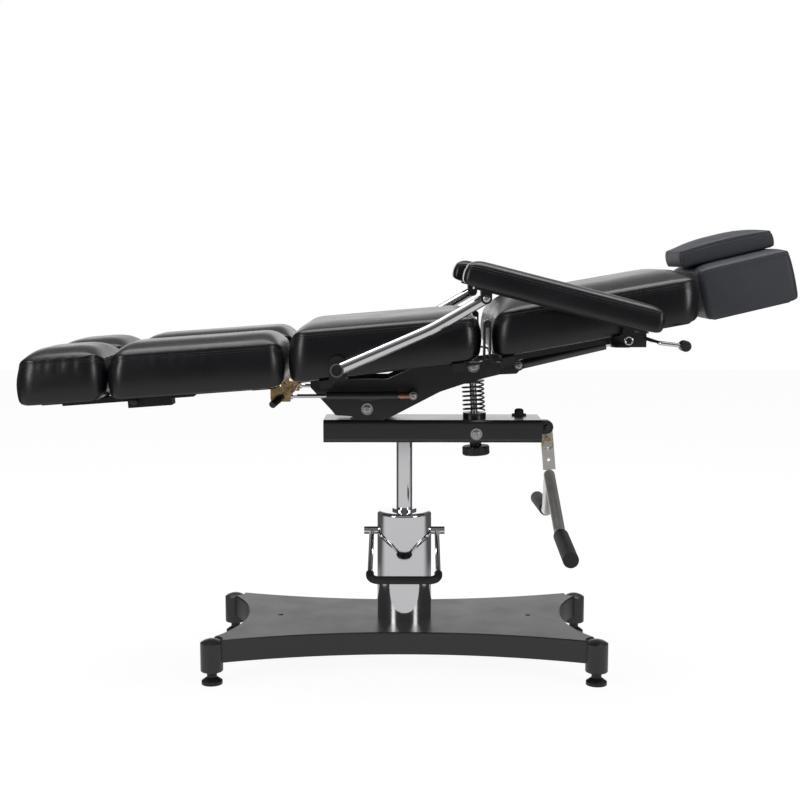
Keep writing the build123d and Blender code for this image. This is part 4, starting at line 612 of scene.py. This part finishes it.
# %% Let the cover swell
def puff(cover, pressure=1.2, cap=5.0, frames=12, slack=-0.012):
    mesh = cover.data
    before = [v.co.copy() for v in mesh.vertices]
    size = 0.001
    cover.scale = (size, size, size)
    bpy.context.view_layer.update()
    mesh.transform(Matrix.Scale(size, 4))
    cover.scale = (1, 1, 1)
    cloth = cover.modifiers.new("swell", "CLOTH")
    cloth.settings.quality = 6
    cloth.settings.mass = 0.25
    cloth.settings.tension_stiffness = 30
    cloth.settings.compression_stiffness = 30
    cloth.settings.shear_stiffness = 15
    cloth.settings.bending_stiffness = 1.5
    cloth.settings.air_damping = 4
    cloth.settings.use_pressure = True
    cloth.settings.uniform_pressure_force = pressure
    cloth.settings.vertex_group_mass = "pins"
    cloth.settings.shrink_min = slack
    cloth.settings.effector_weights.gravity = 0
    cloth.point_cache.frame_start = 1
    cloth.point_cache.frame_end = frames
    scene = bpy.context.scene
    for number in range(1, frames + 1):
        scene.frame_set(number)
        bpy.context.view_layer.update()
    shaped = cover.evaluated_get(bpy.context.evaluated_depsgraph_get())
    after = [v.co.copy() / size for v in shaped.data.vertices]
    cover.modifiers.clear()
    scene.frame_set(1)
    furthest = 0.0
    for vertex, old, new in zip(mesh.vertices, before, after):
        step = new - old
        furthest = max(furthest, step.length)
        if step.length > cap:
            step = step.normalized() * cap
        vertex.co = old + step
    print(cover.name, "swelled by up to", round(furthest, 1), "mm")


# %% Set a cover in its place
def seat_cover(cover, origin, slope, turned):
    """Lift the cover onto its board: turned as a whole, or with its ends left upright."""
    tilt = math.tan(math.radians(slope))
    rotate = Matrix.Rotation(math.radians(-slope), 4, "Y")
    for vertex in cover.data.vertices:
        x, y, z = vertex.co
        if turned:
            co = rotate @ Vector((x, y, z))
        else:
            co = Vector((x, y, z + x * tilt))
        vertex.co = place(origin[0] + co.x, origin[1] + co.y, origin[2] + co.z)


def smooth(thing, levels=1):
    for polygon in thing.data.polygons:
        polygon.use_smooth = True
    if levels:
        rounder = thing.modifiers.new("rounder", "SUBSURF")
        rounder.levels = levels
        rounder.render_levels = levels


# %% [markdown]
# The seam shows as a thin welt with a row of short thread stitches under it. The welt follows the
# seam's own points. Each stitch is a small rounded bar, about five millimetres long, laid along
# the seam and pushed half into the vinyl.

# %% Welt and stitches
def welt_along(name, points, radius, material):
    curve = bpy.data.curves.new(name, "CURVE")
    curve.dimensions = "3D"
    curve.bevel_depth = radius
    curve.bevel_resolution = 2
    line = curve.splines.new("POLY")
    line.points.add(len(points) - 1)
    for point, co in zip(line.points, points):
        point.co = (*co, 1)
    line.use_cyclic_u = True
    curve.materials.append(material)
    welt = bpy.data.objects.new(name, curve)
    bpy.context.scene.collection.objects.link(welt)
    return welt


def stitches_along(name, points, outward, material, pitch=0.0065, length=0.0042, radius=0.00055,
                   closed=True):
    """Short bars along a row of points, each with a six-sided section and round ends."""
    mesh = bpy.data.meshes.new(name)
    verts, faces = [], []
    lengths = [(points[(i + 1) % len(points)] - points[i]).length for i in range(len(points))]
    total = sum(lengths) if closed else sum(lengths[:-1])
    count = int(total / pitch)
    index, gone = 0, 0.0
    for number in range(count):
        target = number * total / count
        while gone + lengths[index] < target:
            gone += lengths[index]
            index += 1
        share = (target - gone) / lengths[index]
        after = (index + 1) % len(points)
        middle = points[index].lerp(points[after], share)
        out = outward[index].lerp(outward[after], share).normalized()
        along = (points[after] - points[index]).normalized()
        across = out.cross(along)
        start = len(verts)
        for run, size in ((-0.5, 0.35), (-0.34, 1.0), (0.34, 1.0), (0.5, 0.35)):
            for k in range(6):
                angle = math.tau * k / 6
                verts.append(middle + along * length * run + (out * math.cos(angle)
                             + across * math.sin(angle)) * radius * size)
        for band in range(3):
            for k in range(6):
                n = (k + 1) % 6
                a = start + band * 6
                faces.append((a + k, a + n, a + 6 + n, a + 6 + k))
        faces.append(tuple(start + k for k in reversed(range(6))))
        faces.append(tuple(start + 18 + k for k in range(6)))
    mesh.from_pydata([tuple(v) for v in verts], [], faces)
    mesh.materials.append(material)
    piece = bpy.data.objects.new(name, mesh)
    bpy.context.scene.collection.objects.link(piece)
    for polygon in mesh.polygons:
        polygon.use_smooth = True
    return piece


thread = finish("black thread", (0.045, 0.045, 0.05), 0.5, grain=0.3, grain_size=1500)
grey_thread = finish("grey thread", (0.16, 0.16, 0.18), 0.55, grain=0.3, grain_size=1500)

# %% [markdown]
# One function makes a whole cushion: cover, swelling, place, welt and stitches. It stands for the
# plain solid of the measured model and moves with the same body.

# %% Upholster one cushion
def upholster(node, origin, slope, turned, material, fill=0.85, sew=thread, welt=0.0011, puffing=None,
              **shape):
    cover, rings, seam_ring = cushion_cover(node + "_cover", **shape)
    puff(cover, **(puffing or {}))
    seat_cover(cover, origin, slope, turned)
    body = body_named(node)
    vertices = cover.data.vertices
    seam = [vertices[i].co.copy() for i in rings[seam_ring]]
    below = [vertices[i].co.copy() for i in rings[seam_ring - 1]]
    middle = sum(seam, Vector()) / len(seam)
    outward = []
    lower = []
    for k, (top, low) in enumerate(zip(seam, below)):
        along = (seam[(k + 1) % len(seam)] - seam[k - 1]).normalized()
        down = (low - top).normalized()
        out = along.cross(down)
        if out.dot(top - middle) < 0:
            out = -out
        outward.append(out)
        lower.append(top + down * 0.0052 + out * 0.0002)
    smooth(cover, 1)
    paint(cover, material)
    trim = [welt_along(node + "_welt", seam, welt, material),
            stitches_along(node + "_stitches", lower, outward, sew)]
    record_slot = next(s["material_slot"] for s in frame["record"]["subparts"] if s["node"] == node)
    for piece in [cover] + trim:
        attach(piece, body)
    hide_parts(node)
    print(node, "cover points", len(vertices))
    return {"cover": cover, "rings": rings, "seam_ring": seam_ring, "slot": record_slot}


# %% [markdown]
# The seat cushion is the widest piece: 60 cm across and 46 cm long, a little thicker at its front.

# %% Seat cushion
seat_run = 464 * math.cos(math.radians(7.2))
seat_cover_piece = upholster("seat_cushion", (-276, 0, 750), 7.2, False, vinyl, length=seat_run,
                             half_width=300, seams=(122, 102), crown=15, corner=48,
                             end_drop=(14, 12), reach=(60, 150))

# %% [markdown]
# The back cushion has the same width. Its foot end lies against the seat's, and its side bands
# are panels of their own inside a dark border.

# %% Back cushion
back_run = 500 * math.cos(math.radians(10.3))
back_cover_piece = upholster("back_cushion", (209, 0, 810), 10.3, False, vinyl, length=back_run,
                             half_width=300, seams=(108, 104), crown=27, corner=48,
                             end_drop=(12, 10), reach=(75, 190))

# %% [markdown]
# Each leg rest has a long pad and a short foot pad that slides away from it. They lie side by
# side with a narrow gap, and the foot pads' outer ends are rounder than the rest.

# %% Leg and foot pads
leg_run = 424 * math.cos(math.radians(4.2))
leg_rise = 424 * math.sin(math.radians(4.2))
foot_run = 218 * math.cos(math.radians(4.2))
foot_start = -284 - 646 * math.cos(math.radians(4.2))
foot_rise = 646 * math.sin(math.radians(4.2)) + 0.3
for hand, side in (("left", -1), ("right", 1)):
    upholster(f"leg_cushion_{hand}", (-284 - leg_run, side * 160, 742 - leg_rise), 4.2, False, vinyl,
              length=leg_run, half_width=141, seams=(108, 108), crown=23, corner=44,
              end_drop=(14, 14), reach=(60, 100))
    upholster(f"foot_cushion_{hand}", (foot_start, side * 160, 742 - foot_rise), 4.2, False, vinyl,
              length=foot_run, half_width=141, seams=(112, 112), crown=22, corner=52,
              end_drop=(24, 13), reach=(80, 100), low_rise=14)

# %% [markdown]
# The headrest is a thick block in a fitted cover of duller vinyl, and a flat pillow lies on it.

# %% Headrest and pillow
head_turn = math.radians(13.3)
upholster("headrest_cushion", (741, 0, 892), 13.3, True, dull_vinyl, length=233, half_width=165,
          seams=(126, 126), crown=10, corner=16, draw=3, end_drop=(3, 3), edge=(8, 14, 10), reach=(50, 80),
          low_rise=6, gather=0.5, fill=0.8, puffing={"slack": -0.02, "cap": 4})
over = (-20 * math.cos(head_turn) - 136.3 * math.sin(head_turn),
        -20 * math.sin(head_turn) + 136.3 * math.cos(head_turn))
pillow = upholster("head_pillow", (741 + over[0], 0, 892 + over[1]), 13.3, True, dull_vinyl, length=237,
          half_width=100, seams=(44, 44), crown=12, corner=10, draw=3, end_drop=(1, 3), edge=(5, 8, 8),
          reach=(100, 90), low_rise=2, arch=4, gather=0.7, fill=0.7, sew=grey_thread,
          puffing={"slack": -0.03, "cap": 4})

# %% [markdown]
# The pillow's side band is joined in four pieces, so a stitched seam runs up each corner.

# %% Corner seams of the pillow
pillow_rings = pillow["rings"]
for number, (sx, sy) in enumerate(((-1, -1), (-1, 1), (1, -1), (1, 1))):
    points = [pillow["cover"].data.vertices[i].co for i in pillow_rings[4]]
    middle = sum(points, Vector()) / len(points)
    k = max(range(len(points)), key=lambda i: sx * (points[i].x - middle.x) * 0.9
            + sy * (points[i].y - middle.y))
    out = Vector((sx, sy, 0)).normalized()
    row = [pillow["cover"].data.vertices[ring[k]].co + out * 0.0004
           for ring in pillow_rings[2:pillow["seam_ring"] + 5]]
    seam = stitches_along(f"pillow_corner_{number}", row, [out] * len(row), grey_thread, pitch=0.0048,
                          length=0.0034, radius=0.0007, closed=False)
    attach(seam, body_named("head_pillow"))

# %% [markdown]
# The armrest pads are long and narrow, with tight flat sides.

# %% Armrest pads
for hand, side in (("left", -1), ("right", 1)):
    upholster(f"armrest_pad_{hand}", (131, side * 360, 988.0), -14.3, True, vinyl, length=470,
              half_width=45, seams=(52, 52), crown=10, corner=16, draw=2.5, end_drop=(7, 3),
              edge=(6, 22, 10), reach=(40, 40), band_rows=6, top_rows=8, low_rise=8, gather=0.35,
              fill=0.8, puffing={"cap": 2.0})
